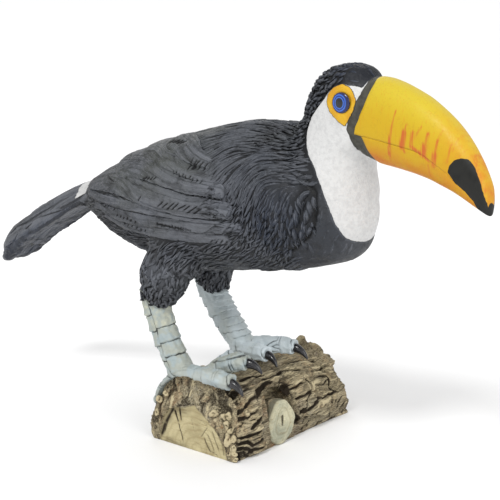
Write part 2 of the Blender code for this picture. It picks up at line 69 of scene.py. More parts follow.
# The trunk's middle height and half height along x, in millimetres.
SPINE = ((-172, 207, 12), (-150, 207, 25), (-120, 209, 39), (-80, 213, 53), (-40, 218, 62), (0, 223, 66),
         (40, 230, 67), (75, 234, 64), (105, 234, 58), (130, 230, 46), (150, 226, 27))

# Paint edges seen from the side, as millimetres forward of the pivot and up.
WHITE_EDGE = ((90, 343), (62, 341), (59, 333), (52, 334), (44, 335), (37, 332.5), (31, 328), (26, 321.5),
              (20, 315), (12, 306), (9.5, 298), (10, 290), (12, 284), (16, 277), (23, 268), (30, 253),
              (35, 237), (38, 222), (42, 211), (47, 204), (90, 200))
ORBIT_EDGE = ((43, 335), (36, 332), (31, 326), (30.5, 320), (34, 313), (41, 307), (48, 302.5), (52.5, 309),
              (55, 316), (56, 323), (53.5, 329.5), (49.5, 333.5))
BAND_EDGE = ((61, 345), (61.5, 336), (60, 329), (57, 323), (55.5, 315), (51, 306), (49.5, 300), (51, 295),
             (52, 289), (53, 283), (63, 279), (71, 275), (90, 270), (90, 345))
UPPER_BACK = ((67, 342), (69, 336), (66.5, 326), (64, 318), (59.5, 309), (55.5, 302.5), (53.5, 296))
LOWER_BACK = ((61, 297), (64, 292), (66.5, 285), (70, 278), (73, 271))
EYE = np.array([44.5, 23.5, 320.5])  # forward, sideways and up from the pivot, mm

# The lie of the plumage on the side: x, z in millimetres, and the pitch in
# degrees below straight back.
LIE = ((155, 343, 10), (140, 345, 50), (140, 336, 78), (125, 340, 56), (112, 320, 64), (112, 300, 66),
       (107, 289, 50), (72, 294, 5), (57, 293, 8), (43, 290, 17), (31, 285, 25), (19, 280, 24),
       (9, 275, 32), (2, 268, 52), (89, 288, 14), (71, 283, 12), (54, 280.5, 8), (39, 277, 19),
       (29, 272, 41), (23, 265, 58), (16.5, 255, 56), (104, 272, 14), (94, 270, 9), (80, 267, 14),
       (71, 263, 41), (66.5, 258, 56), (62.5, 252, 58), (60, 246, 74), (113, 255, -5), (98.5, 256, 0),
       (86.5, 255, 12), (79, 252, 47), (76.5, 247, 75), (74.7, 240, 74), (109, 280, 14), (-10, 276, 24),
       (-40, 262, 25), (45, 264, 45), (45, 250, 60), (-5, 252, 46), (-25, 245, 28), (90, 238, 74),
       (102, 242, 74), (118, 235, 104), (102, 215, 80), (76, 220, 74), (60, 226, 62), (88, 200, 58),
       (112, 206, 92), (40, 215, 4), (0, 210, 0), (-60, 210, 0), (-130, 212, 4), (30, 190, 36),
       (-20, 185, 36), (60, 195, 45), (30, 165, 8), (110, 180, 30), (-80, 180, -10), (-42, 160, 78),
       (-50, 140, 84), (-170, 205, 28), (-230, 180, 28))

# Big feathers of a wing, root to tip: x in mm, degrees above level round the
# trunk, half width in mm.
WING_FEATHERS = {
    "primary_low": ((45, -26.5, 3.6), (30, -27, 4.8), (0, -23, 5.8), (-25, -22.5, 5.6), (-50, -22, 4.8),
                    (-90, -20, 3.8), (-120, -12, 2.6)),
    "primary_mid": ((61, -17.5, 4.4), (30, -17.5, 5.2), (0, -14, 5.2), (-40, -12, 5.6), (-67, -12, 7.0),
                    (-100, -9, 5.6), (-137, -1, 3.0)),
    "primary_top": ((40, -13.5, 1.2), (14, -10.5, 1.6), (-15, -7, 2.4), (-57, -1, 5.0), (-99, 3, 4.8),
                    (-130, 8, 4.2), (-158, 17, 3.0)),
    "tertial_low": ((54, -5, 7.5), (25, -2, 9), (0, 1, 10), (-35, 7, 11), (-65, 15, 13), (-90, 30, 19),
                    (-120, 40, 19), (-140, 40, 14), (-158, 36, 7)),
    "tertial_mid": ((46, 8.5, 6), (25, 12, 6), (0, 16, 7.5), (-20, 21, 8), (-36, 27, 11), (-62, 42, 19),
                    (-90, 50, 20), (-111, 52, 13)),
    "tertial_top": ((35, 19, 5), (21, 22, 5.5), (-4, 28, 7.5), (-19, 35, 9.5), (-32, 42, 12), (-52, 57, 18),
                    (-76, 64, 14)),
    "scapular": ((26, 30, 5), (5, 37, 8.5), (-10, 47, 12), (-27, 57, 16), (-42, 66, 13)),
}


# ------------------------------------------------------------------- numbers
def linear(hex_colour):
    """Linear colour from an sRGB hex value."""
    digits = hex_colour.lstrip("#")
    values = [int(digits[i:i + 2], 16) / 255 for i in (0, 2, 4)]
    return tuple(v / 12.92 if v <= 0.04045 else ((v + 0.055) / 1.055) ** 2.4 for v in values)


def smooth_step(low, high, values):
    """0 to 1 as the values pass from low to high, which may also be the lower one."""
    share = np.clip((values - low) / (high - low), 0.0, 1.0)
    return share * share * (3 - 2 * share)


def noise(points, size, seed=0):
    """Smooth noise from -1 to 1; `size` is the cell in metres, one number or three."""
    place = np.asarray(points, float) / np.asarray(size, float) + 13.7 * (seed + 1)
    cell = np.floor(place).astype(np.int64)
    share = place - cell
    share = share * share * (3 - 2 * share)
    total = np.zeros(len(place))
    for corner in range(8):
        step = np.array([corner & 1, corner >> 1 & 1, corner >> 2 & 1])
        key = cell + step
        code = key[:, 0] * 73856093 ^ key[:, 1] * 19349663 ^ key[:, 2] * 83492791 ^ (seed * 2654435761)
        code = (code ^ code >> 13) * 1274126177 & 0xFFFFFFFF
        value = ((code ^ code >> 15) & 0xFFFF) / 32767.5 - 1
        weight = np.prod(np.where(step, share, 1 - share), axis=1)
        total += weight * value
    return total


def swell(points, x, z, half_x, half_z):
    """1 at a place of the side view, in mm, falling away over its half width and height."""
    return np.exp(-((points[:, 0] / MM - x) / half_x) ** 2 - ((points[:, 2] / MM - z) / half_z) ** 2)


def layered(points, size, seed=0, layers=3):
    """Noise with finer noise on it, about -1 to 1."""
    size = np.asarray(size, float)
    total = sum(noise(points, size / 2 ** i, seed + i) / 2 ** i for i in range(layers))
    return total / 1.4


def edge_distance(points, line, closed=False):
    """Distance from 2-D points to a line of points, and how far along it, 0 to 1."""
    points = np.asarray(points, float)
    line = np.asarray(line, float)
    ends = np.roll(line, -1, axis=0) if closed else line[1:]
    starts = line if closed else line[:-1]
    lengths = np.linalg.norm(ends - starts, axis=1)
    before = np.concatenate([[0], np.cumsum(lengths)])
    best = np.full(len(points), 1e9)
    along = np.zeros(len(points))
    for start, end, length, passed in zip(starts, ends, lengths, before):
        way = end - start
        share = np.clip((points - start) @ way / (length * length), 0, 1)
        gap = np.linalg.norm(points - start - share[:, None] * way, axis=1)
        nearer = gap < best
        best[nearer] = gap[nearer]
        along[nearer] = (passed + share * length)[nearer] / before[-1]
    return best, along


def depth_inside(points, outline):
    """Distance to a closed outline, positive inside it."""
    gap = edge_distance(points, outline, closed=True)[0]
    x, y = np.asarray(points, float).T
    inside = np.zeros(len(x), bool)
    for (ax, ay), (bx, by) in zip(outline, outline[1:] + outline[:1]):
        crossing = (ay > y) != (by > y)
        rise = by - ay if by != ay else 1e-9
        inside ^= crossing & (x < (bx - ax) * (y - ay) / rise + ax)
    return np.where(inside, gap, -gap)


def straightened(points):
    """Points as they would be with the head not turned, in mm from the pivot line."""
    points = np.asarray(points, float)
    share = np.clip((points[:, 2] - TURN_LOW) / (TURN_HIGH - TURN_LOW), 0, 1)
    angle = -HEAD_TURN * share
    x = points[:, 0] - PIVOT_X
    y = points[:, 1] - BIRD_Y
    forward = x * np.cos(angle) - y * np.sin(angle)
    side = x * np.sin(angle) + y * np.cos(angle)
    return np.stack([forward, side, points[:, 2]], axis=1) / MM


def turned(points_mm):
    """Head-frame millimetres to the row frame, for what turns with the head."""
    points = np.asarray(points_mm, float) * MM
    x, y, z = np.moveaxis(points, -1, 0)
    c, s = math.cos(HEAD_TURN), math.sin(HEAD_TURN)
    return np.stack([x * c - y * s + PIVOT_X, x * s + y * c + BIRD_Y, z], axis=-1)


def spine_at(x):
    table = np.array(SPINE) * MM
    return np.interp(x, table[:, 0], table[:, 1]), np.interp(x, table[:, 0], table[:, 2])


def markings(points):
    """Depth in mm inside each painted area, negative outside."""
    view = straightened(points)
    edges = {"white": WHITE_EDGE, "orbit": ORBIT_EDGE, "band": BAND_EDGE}
    fields = {name: depth_inside(view[:, (0, 2)], edge) for name, edge in edges.items()}
    behind = (TAIL_ROOT[0] - points[:, 0]) / MM
    top = (points[:, 2] - TAIL_ROOT[2]) / MM + 0.5 * behind
    fields["rump"] = np.minimum.reduce([behind - 12, 29 - behind, top - 2.0])
    return fields


def lie_of_plumage(points):
    """Direction that the plumage points in, following the side view's table."""
    points = np.asarray(points, float)
    table = np.array(LIE, float)
    mm = points / MM
    gap = (mm[:, None, 0] - table[None, :, 0]) ** 2 + (mm[:, None, 2] - table[None, :, 1]) ** 2
    weight = 1.0 / (gap + 40.0) ** 2
    weight /= weight.sum(axis=1, keepdims=True)
    pitch = np.radians(table[:, 2])
    back = weight @ np.cos(pitch)
    down = weight @ np.sin(pitch)
    direction = np.stack([-back, np.zeros(len(points)), -down], axis=1)
    return direction / np.linalg.norm(direction, axis=1, keepdims=True)


# ------------------------------------------------------------------ geometry
def add_object(name, mesh):
    item = bpy.data.objects.new(name, mesh)
    bpy.context.scene.collection.objects.link(item)
    return item


def finished(item, material, slot, *nodes):
    """Files a piece: its material, its body and what it replaces. Its slot is not used."""
    item.data.materials.clear()
    item.data.materials.append(material)
    item.data.shade_smooth()
    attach(item, "root")
    if nodes:
        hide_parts(*nodes)


def node_copy(name, grow=0.0):
    """A merged copy of a CAD node's mesh as a bmesh, grown along its normals."""
    bm = bmesh.new()
    bm.from_mesh(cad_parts[name].data)
    bmesh.ops.remove_doubles(bm, verts=bm.verts, dist=0.00001)
    bm.normal_update()
    for vert in bm.verts:
        vert.co += vert.normal * grow
    return bm


def joined(name, parts):
    """One mesh object from several bmeshes, which are freed."""
    whole = bmesh.new()
    for part in parts:
        mesh = bpy.data.meshes.new("part")
        part.to_mesh(mesh)
        part.free()
        whole.from_mesh(mesh)
        bpy.data.meshes.remove(mesh)
    mesh = bpy.data.meshes.new(name)
    whole.to_mesh(mesh)
    whole.free()
    return add_object(name, mesh)


def baked(item):
    """Applies an object's modifiers to its mesh."""
    graph = bpy.context.evaluated_depsgraph_get()
    mesh = bpy.data.meshes.new_from_object(item.evaluated_get(graph))
    item.modifiers.clear()
    old = item.data
    item.data = mesh
    bpy.data.meshes.remove(old)


def remeshed(item, voxel):
    """Turns overlapping solids into one even skin of quads, and keeps its largest body."""
    modifier = item.modifiers.new("even", "REMESH")
    modifier.mode = "VOXEL"
    modifier.voxel_size = voxel
    modifier.use_smooth_shade = True
    baked(item)
    bm = bmesh.new()
    bm.from_mesh(item.data)
    left = set(bm.faces)
    bodies = []
    while left:
        body = []
        waiting = [left.pop()]
        while waiting:
            face = waiting.pop()
            body.append(face)
            for edge in face.edges:
                for other in edge.link_faces:
                    if other in left:
                        left.remove(other)
                        waiting.append(other)
        bodies.append(body)
    bodies.sort(key=len)
    for body in bodies[:-1]:
        bmesh.ops.delete(bm, geom=body, context="FACES")
    bm.to_mesh(item.data)
    bm.free()


def points_of(mesh):
    values = np.empty(len(mesh.vertices) * 3)
    mesh.vertices.foreach_get("co", values)
    return values.reshape(-1, 3)


def normals_of(mesh):
    values = np.empty(len(mesh.vertices) * 3, np.float32)
    mesh.vertex_normals.foreach_get("vector", values)
    return values.reshape(-1, 3).astype(float)


def whole_numbers(items, key, each=1):
    values = np.empty(len(items) * each, np.int64)
    items.foreach_get(key, values)
    return values


def put_points(mesh, points):
    mesh.vertices.foreach_set("co", np.asarray(points, float).ravel())
    mesh.update()


def put_values(mesh, **values):
    """Stores one number a point, or the same for all, under each name."""
    for name, value in values.items():
        attribute = mesh.attributes.get(name) or mesh.attributes.new(name, "FLOAT", "POINT")
        attribute.data.foreach_set("value", np.full(len(mesh.vertices), value, np.float32))


def relaxed(mesh, rounds):
    """Evens out facets by moving each point to its neighbours' middle and, for its size, back."""
    points = points_of(mesh)
    a, b = whole_numbers(mesh.edges, "vertices", 2).reshape(-1, 2).T
    count = np.bincount(a, minlength=len(points)) + np.bincount(b, minlength=len(points))
    for i in range(2 * rounds):
        factor = -0.53 if i % 2 else 0.5
        total = np.zeros_like(points)
        for axis in range(3):
            total[:, axis] = (np.bincount(a, points[b, axis], len(points))
                              + np.bincount(b, points[a, axis], len(points)))
        points += factor * (total / count[:, None] - points)
    put_points(mesh, points)


def wrapped_grid(places):
    """A tube from rings of places, rings x sides x 3; a ring of one place is a pole."""
    rings, sides = places.shape[:2]
    bm = bmesh.new()
    bmesh.ops.create_grid(bm, x_segments=sides, y_segments=rings - 1, size=0.5)
    for vert in bm.verts:
        i = round((vert.co.y + 0.5) * (rings - 1))
        j = round((vert.co.x + 0.5) * sides) % sides
        vert.co = places[i, j]
    bmesh.ops.remove_doubles(bm, verts=bm.verts, dist=0.000001)
    open_edges = [edge for edge in bm.edges if len(edge.link_faces) == 1]
    if open_edges:
        bmesh.ops.holes_fill(bm, edges=open_edges, sides=0)
    bmesh.ops.recalc_face_normals(bm, faces=bm.faces)
    return bm


def tree_of(item):
    return BVHTree.FromObject(item, bpy.context.evaluated_depsgraph_get())


def on_surface(tree, points):
    """Nearest places on a surface and their normals."""
    places = np.empty((len(points), 3))
    normals = np.empty((len(points), 3))
    for i, point in enumerate(points):
        places[i], normals[i] = tree.find_nearest(point)[:2]
    return places, normals


# ---------------------------------------------------------------- unwrapping
def unwrap(points):
    """Where each point lies on a flat map of the skin's own form.

    Head and neck, trunk with wings, tail and thighs are rolled out one above
    the other: round the form across, along it upwards.
    """
    points = np.asarray(points, float)
    view = straightened(points)
    x, y, z = points.T
    thigh = (z < 0.168) & (x < 0.0)
    head = (z > 0.262 + 1.19 * (x - PIVOT_X)) & (view[:, 2] > 215) & (x > 0.03) & ~thigh
    tail = (x < -0.166) & ~thigh
    round_trunk = np.arctan2(y - BIRD_Y, z - spine_at(x)[0])
    round_head = np.arctan2(view[:, 1], -(view[:, 0] - 20))
    along_tail = TAIL_ROOT[0] - x
    round_tail = np.arctan2(y - BIRD_Y, z - (TAIL_ROOT[2] + along_tail * math.tan(TAIL_SLOPE)))
    side = np.sign(y - BIRD_Y)
    round_thigh = np.arctan2(y - BIRD_Y - side * 0.037, x + 0.045)
    chart = np.where(thigh, np.where(side > 0, 3, 4), np.where(head, 1, np.where(tail, 2, 0)))
    turn = np.choose(chart, [round_trunk, round_head, round_tail, round_thigh, round_thigh])
    up_thigh = (z - 0.12) / 0.05
    along = np.choose(chart, [(x + 0.18) / 0.36, (z - 0.20) / 0.16, along_tail / 0.18, up_thigh, up_thigh])
    # each strip's foot, height, width and left edge on the map
    strips = np.array(((0.02, 0.38, 0.90, 0.03), (0.42, 0.26, 0.90, 0.03), (0.70, 0.18, 0.90, 0.03),
                       (0.90, 0.08, 0.42, 0.03), (0.90, 0.08, 0.42, 0.51)))
    low, tall, wide, left = strips[chart].T
    share = turn / (2 * math.pi) + 0.5
    return np.stack([share, np.clip(along, 0, 1), low, tall, wide, left, chart], axis=1)


def map_place(rolled):
    share, along, low, tall, wide, left = rolled.T[:6]
    return np.stack([left + share * wide, low + along * tall], axis=1)


def unwrap_skin(mesh):
    """Gives a skin its OFBake map; a face keeps to one strip and doesn't straddle its seam."""
    rolled = unwrap(points_of(mesh))
    corners, starts, totals = (whole_numbers(*source) for source in (
        (mesh.loops, "vertex_index"), (mesh.polygons, "loop_start"), (mesh.polygons, "loop_total")))
    first = np.repeat(starts, totals)
    own = rolled[corners]
    lead = rolled[corners[first]]
    split = own[:, 6] != lead[:, 6]
    own[split, 1] = np.where(lead[split, 1] > 0.5, 1.0, 0.0)
    own[:, 2:] = lead[:, 2:]
    gap = own[:, 0] - lead[:, 0]
    own[:, 0] = np.where(gap > 0.5, own[:, 0] - 1, np.where(gap < -0.5, own[:, 0] + 1, own[:, 0]))
    layer = mesh.uv_layers.new(name="OFBake")
    layer.uv.foreach_set("vector", map_place(own).astype(np.float32).ravel())


# ----------------------------------------------------------------- materials
RGBA = {"data_type": "RGBA"}
EASED = {"interpolation_type": "SMOOTHSTEP"}
PLUS, MINUS, TIMES, TIMES_PLUS, SIZE_OF, FOLD = (
    {"operation": name} for name in ("ADD", "SUBTRACT", "MULTIPLY", "MULTIPLY_ADD", "ABSOLUTE", "PINGPONG"))


def add_node(tree, kind, settings=None, **links):
    """Adds one node with its settings; each input is a number, a colour, a socket or a node."""
    node = tree.nodes.new("ShaderNode" + kind)
    for key, value in (settings or {}).items():
        setattr(node, key, value)
    for key, value in links.items():
        socket = node.inputs[int(key[1:])] if key[1:].isdigit() else node.inputs[key.replace("_", " ")]
        if isinstance(value, bpy.types.Node):
            value = next(output for output in value.outputs if output.enabled)
        if isinstance(value, bpy.types.NodeSocket):
            tree.links.new(value, socket)
        elif socket.type == "RGBA":
            socket.default_value = (*value[:3], 1)
        else:
            socket.default_value = value
    return node


def new_material(name, colour, roughness, **sockets):
    """A material, its tree, its shader, and add_node for that tree."""
    material = bpy.data.materials.new(name)
    material.use_nodes = True
    tree = material.node_tree
    shader = tree.nodes["Principled BSDF"]
    shader.inputs["Base Color"].default_value = (*colour, 1)
    shader.inputs["Roughness"].default_value = roughness
    for key, value in sockets.items():
        shader.inputs[key.replace("_", " ")].default_value = value
    material.diffuse_color = (*colour, 1)
    return material, tree, shader, partial(add_node, tree)


def plumage_material(colours):
    """Acrylic paint over carved resin: brushed matte with a painted highlight on the crests, dark wash with
    painted shade in the grooves.
    """
    material, tree, shader, add = new_material("painted_resin_plumage", colours.charcoal, 0.5,
                                               Specular_IOR_Level=0.24)
    here = add("TexCoord").outputs["Object"]
    names = ("crest", "blue", "along", "across", "olive", "pale", "white", "rump", "orbit", "band")
    value = {name: add("Attribute", {"attribute_name": name}).outputs["Fac"] for name in names}
    # passages of slate, olive, blue and rubbed paint a few centimetres across
    wide = add("TexNoise", Vector=here, Scale=24.0, Detail=3.0)
    wide = add("MapRange", EASED, _0=wide, _1=0.38, _2=0.62)
    rubbed = add("MapRange", _0=value["pale"], _1=0.0, _2=1.0)
    dulled = add("MapRange", _0=value["pale"], _1=0.0, _2=-1.0)
    body = colours.charcoal
    for share, paint in ((wide, colours.slate), (value["olive"], colours.olive),
                         (value["blue"], colours.blue_black), (rubbed, colours.rubbed),
                         (dulled, colours.deep)):
        body = add("Mix", RGBA, _0=share, _6=body, _7=paint)
    # darker and rubbed patches a few millimetres across
    mottle = add("TexNoise", Vector=here, Scale=130.0, Detail=4.0)
    speck = add("TexNoise", Vector=here, Scale=420.0, Detail=3.0)
    # combing along each feather, about 0.7 mm apart and 7 mm long
    lane = add("CombineXYZ", X=value["along"], Y=value["across"], Z=0.0)
    lane = add("Mapping", Vector=lane, Scale=(0.14, 1.5, 1.0))
    comb = add("TexNoise", Vector=lane, Scale=1.0, Detail=3.0)
    # then the wash and painted shade in the grooves, and rubbed paint with a painted highlight on the crests
    for source, low, high, share, paint in (
            (mottle, 0.50, 0.66, 0.45, colours.deep), (speck, 0.60, 0.74, 0.5, colours.rubbed),
            (comb, 0.42, 0.68, 0.35, colours.rubbed), (value["crest"], 0.72, 0.10, 1.0, colours.deep),
            (value["crest"], 0.74, 1.08, 0.7, colours.rubbed)):
        share = add("MapRange", EASED, _0=source, _1=low, _2=high, _4=share)
        body = add("Mix", RGBA, _0=share, _6=body, _7=paint)
    # off-white with faint grey stipple a millimetre across, the eye's yolk yellow, the dark collar
    paints = []
    for scale, detail, low, high, share, paint, shade in (
            (300.0, 5.0, 0.40, 0.66, 0.6, colours.white, colours.white_shade),
            (90.0, 3.0, 0.35, 0.7, 1.0, colours.orbit, colours.orbit_shade),
            (180.0, 4.0, 0.35, 0.7, 1.0, colours.band, colours.band_shade)):
        cloud = add("TexNoise", Vector=here, Scale=scale, Detail=detail)
        cloud = add("MapRange", EASED, _0=cloud, _1=low, _2=high, _4=share)
        paints.append(add("Mix", RGBA, _0=cloud, _6=paint, _7=shade))
    white, yolk, collar = paints
    # a hand-painted edge wanders by half a millimetre
    wander = add("TexNoise", Vector=here, Scale=300.0, Detail=2.0)
    wander = add("Math", TIMES_PLUS, _0=wander, _1=1.7, _2=-0.85)
    for name, paint in (("white", white), ("rump", white), ("orbit", yolk), ("band", collar)):
        depth = add("Math", PLUS, _0=value[name], _1=wander)
        # a dark line is left where the paints meet
        for low, high, cover in ((-0.75, -0.15, colours.deep), (-0.20, 0.25, paint)):
            share = add("MapRange", EASED, _0=depth, _1=low, _2=high)
            body = add("Mix", RGBA, _0=share, _6=body, _7=cover)
    tree.links.new(body.outputs[2], shader.inputs["Base Color"])
    coarse = add("TexNoise", Vector=here, Scale=240.0, Detail=2.0)
    sheen = add("MapRange", EASED, _0=coarse, _1=0.3, _2=0.7, _3=0.38, _4=0.60)
    tree.links.new(sheen.outputs[0], shader.inputs["Roughness"])
    # brush marks and the resin's own pitting, 0.4 to 1.5 mm across
    fine = add("TexNoise", Vector=here, Scale=700.0, Detail=3.0)
    height = add("Math", PLUS, _0=coarse, _1=fine)
    height = add("Math", TIMES_PLUS, _0=comb, _1=2.2, _2=height)
    bump = add("Bump", Strength=0.75, Distance=0.0007, Height=height)
    tree.links.new(bump.outputs["Normal"], shader.inputs["Normal"])
    return material


def bill_material(colours):
    """Satin acrylic brushed over smooth resin: yellow to orange, with dragged red-orange."""
    material, tree, shader, add = new_material("painted_resin_bill", colours.yellow, 0.42,
                                               Specular_IOR_Level=0.22)
    here = add("TexCoord").outputs["Object"]
    height, reach, lip, patch, streak = (add("Attribute", {"attribute_name": name}).outputs["Fac"]
                                         for name in ("height", "reach", "lip", "patch", "streak"))
    # brush hairs run up and down the bill, about 0.8 mm apart
    hairs = add("Mapping", Vector=here, Rotation=(0, math.radians(8), -HEAD_TURN),
                Scale=(900.0, 900.0, 60.0))
    hairs = add("TexNoise", Vector=hairs, Scale=1.0, Detail=2.0)
    cloud = add("TexNoise", Vector=here, Scale=75.0, Detail=3.0)
    # the ridge is greener, the keel and the far end warmer
    share = add("MapRange", EASED, _0=height, _1=0.97, _2=0.50)
    colour = add("Mix", RGBA, _0=share, _6=colours.culmen, _7=colours.yellow)
    patchy = add("MapRange", EASED, _0=cloud, _1=0.30, _2=0.62, _3=0.45, _4=1.0)
    for source, low, high, share in ((height, 0.40, 0.02, 1.0), (reach, 112.0, 180.0, 0.85)):
        share = add("MapRange", EASED, _0=source, _1=low, _2=high, _4=share)
        share = add("Math", TIMES, _0=share, _1=patchy)
        colour = add("Mix", RGBA, _0=share, _6=colour, _7=colours.amber)
    # worn strokes; hairline crazing in the old varnish, a few millimetres apart; red-orange
    # dragged in broken strokes; and the gape
    craze = add("TexNoise", Vector=here, Scale=95.0, Detail=5.0)
    craze = add("Math", MINUS, _0=craze, _1=0.5)
    craze = add("Math", SIZE_OF, _0=craze)
    broken = add("MapRange", EASED, _0=hairs, _1=0.30, _2=0.62, _3=0.50, _4=1.1)
    drag = add("Math", TIMES, _0=streak, _1=broken)
    gape = add("Math", SIZE_OF, _0=lip)
    for source, low, high, share, paint in (
            (hairs, 0.52, 0.80, 0.40, colours.amber), (craze, 0.010, 0.0, 0.20, colours.craze),
            (drag, 0.08, 0.85, 0.95, colours.rust), (gape, 0.35, 0.05, 0.12, colours.rust)):
        share = add("MapRange", EASED, _0=source, _1=low, _2=high, _4=share)
        colour = add("Mix", RGBA, _0=share, _6=colour, _7=paint)
    # the black patch, with a wandering edge
    mark = add("MapRange", EASED, _0=cloud, _1=0.45, _2=0.75)
    mark = add("Mix", RGBA, _0=mark, _6=colours.patch, _7=colours.patch_shade)
    wander = add("TexNoise", Vector=here, Scale=260.0, Detail=2.0)
    wander = add("Math", TIMES_PLUS, _0=wander, _1=0.8, _2=patch)
    inside = add("MapRange", EASED, _0=wander, _1=0.25, _2=0.55)
    colour = add("Mix", RGBA, _0=inside, _6=colour, _7=mark)
    tree.links.new(colour.outputs[2], shader.inputs["Base Color"])
    sheen = add("MapRange", EASED, _0=hairs, _1=0.3, _2=0.7, _3=0.34, _4=0.50)
    tree.links.new(sheen.outputs[0], shader.inputs["Roughness"])
    relief = add("Math", TIMES_PLUS, _0=cloud, _1=3.0, _2=hairs)
    bump = add("Bump", Strength=0.30, Distance=0.0004, Height=relief)
    tree.links.new(bump.outputs["Normal"], shader.inputs["Normal"])
    return material


def eye_material(colours):
    """Gloss enamel brushed in rings: navy rim, bright blue, charcoal pupil."""
    material, tree, shader, add = new_material("gloss_enamel_eye", colours.iris, 0.2, Coat_Weight=0.2)
    ring = add("Attribute", {"attribute_name": "ring"}).outputs["Fac"]
    here = add("TexCoord").outputs["Object"]
    grain = add("TexNoise", Vector=here, Scale=500.0, Detail=2.0)
    edge = add("Math", TIMES_PLUS, _0=grain, _1=0.10, _2=ring)
    ramp = add("ValToRGB", Fac=edge)
    stops = ramp.color_ramp.elements
    stops.remove(stops[0])
    for i, (place, paint) in enumerate((
            (0.0, "pupil"), (0.43, "pupil"), (0.47, "rim"), (0.52, "iris_light"), (0.58, "iris"),
            (0.63, "rim"), (0.68, "iris"), (0.73, "iris_light"), (0.78, "iris"), (0.84, "rim"),
            (1.0, "rim"))):
        stop = stops[0] if i == 0 else stops.new(place)
        stop.position = place
        stop.color = (*getattr(colours, paint), 1)
    tree.links.new(ramp.outputs["Color"], shader.inputs["Base Color"])
    return material


def leg_material(colours):
    """Pale blue-grey acrylic, cream where it is dry-brushed, dark wash between the scutes, painted shade near
    the thigh and toes and painted light on the far leg.
    """
    material, tree, shader, add = new_material("painted_resin_scutes", colours.leg, 0.5)
    here = add("TexCoord").outputs["Object"]
    crest, shade, cream, cool = (add("Attribute", {"attribute_name": name}).outputs["Fac"]
                                 for name in ("crest", "shade", "cream", "cool"))
    cloud = add("TexNoise", Vector=here, Scale=110.0, Detail=4.0)
    mottle = add("MapRange", EASED, _0=cloud, _1=0.42, _2=0.60)
    dry = add("TexNoise", Vector=here, Scale=260.0, Detail=3.0)
    dry = add("Math", TIMES_PLUS, _0=dry, _1=0.9, _2=cream)
    dry = add("MapRange", EASED, _0=dry, _1=0.62, _2=1.1)
    wash = add("Math", TIMES_PLUS, _0=cloud, _1=0.35, _2=crest)
    wash = add("MapRange", EASED, _0=wash, _1=0.78, _2=0.19)
    # mottle, dry-brush, the far leg's painted light, painted shade, then the wash between the scutes
    colour = colours.leg
    for share, paint in ((mottle, colours.leg_blue), (dry, colours.leg_cream), (cool, colours.leg_pale_and_painted_light),
                         (shade, colours.leg_grey), (wash, colours.leg_wash)):
        colour = add("Mix", RGBA, _0=share, _6=colour, _7=paint)
    tree.links.new(colour.outputs[2], shader.inputs["Base Color"])
    fine = add("TexNoise", Vector=here, Scale=520.0, Detail=3.0)
    bump = add("Bump", Strength=0.6, Distance=0.0008, Height=fine)
    tree.links.new(bump.outputs["Normal"], shader.inputs["Normal"])
    return material


def claw_material(colours):
    """Glossy black enamel with a little grey rubbed along it."""
    material, tree, shader, add = new_material("gloss_enamel_claw", colours.claw, 0.2, Coat_Weight=0.3)
    here = add("TexCoord").outputs["Object"]
    lines = add("Mapping", Vector=here, Rotation=(0, math.radians(55), 0), Scale=(120.0, 900.0, 900.0))
    lines = add("TexNoise", Vector=lines, Scale=1.0, Detail=2.0)
    rub = add("MapRange", EASED, _0=lines, _1=0.5, _2=0.8, _4=0.5)
    colour = add("Mix", RGBA, _0=rub, _6=colours.claw, _7=colours.claw_rub)
    tree.links.new(colour.outputs[2], shader.inputs["Base Color"])
    bump = add("Bump", Strength=0.2, Distance=0.0003, Height=lines)
    tree.links.new(bump.outputs["Normal"], shader.inputs["Normal"])
    return material


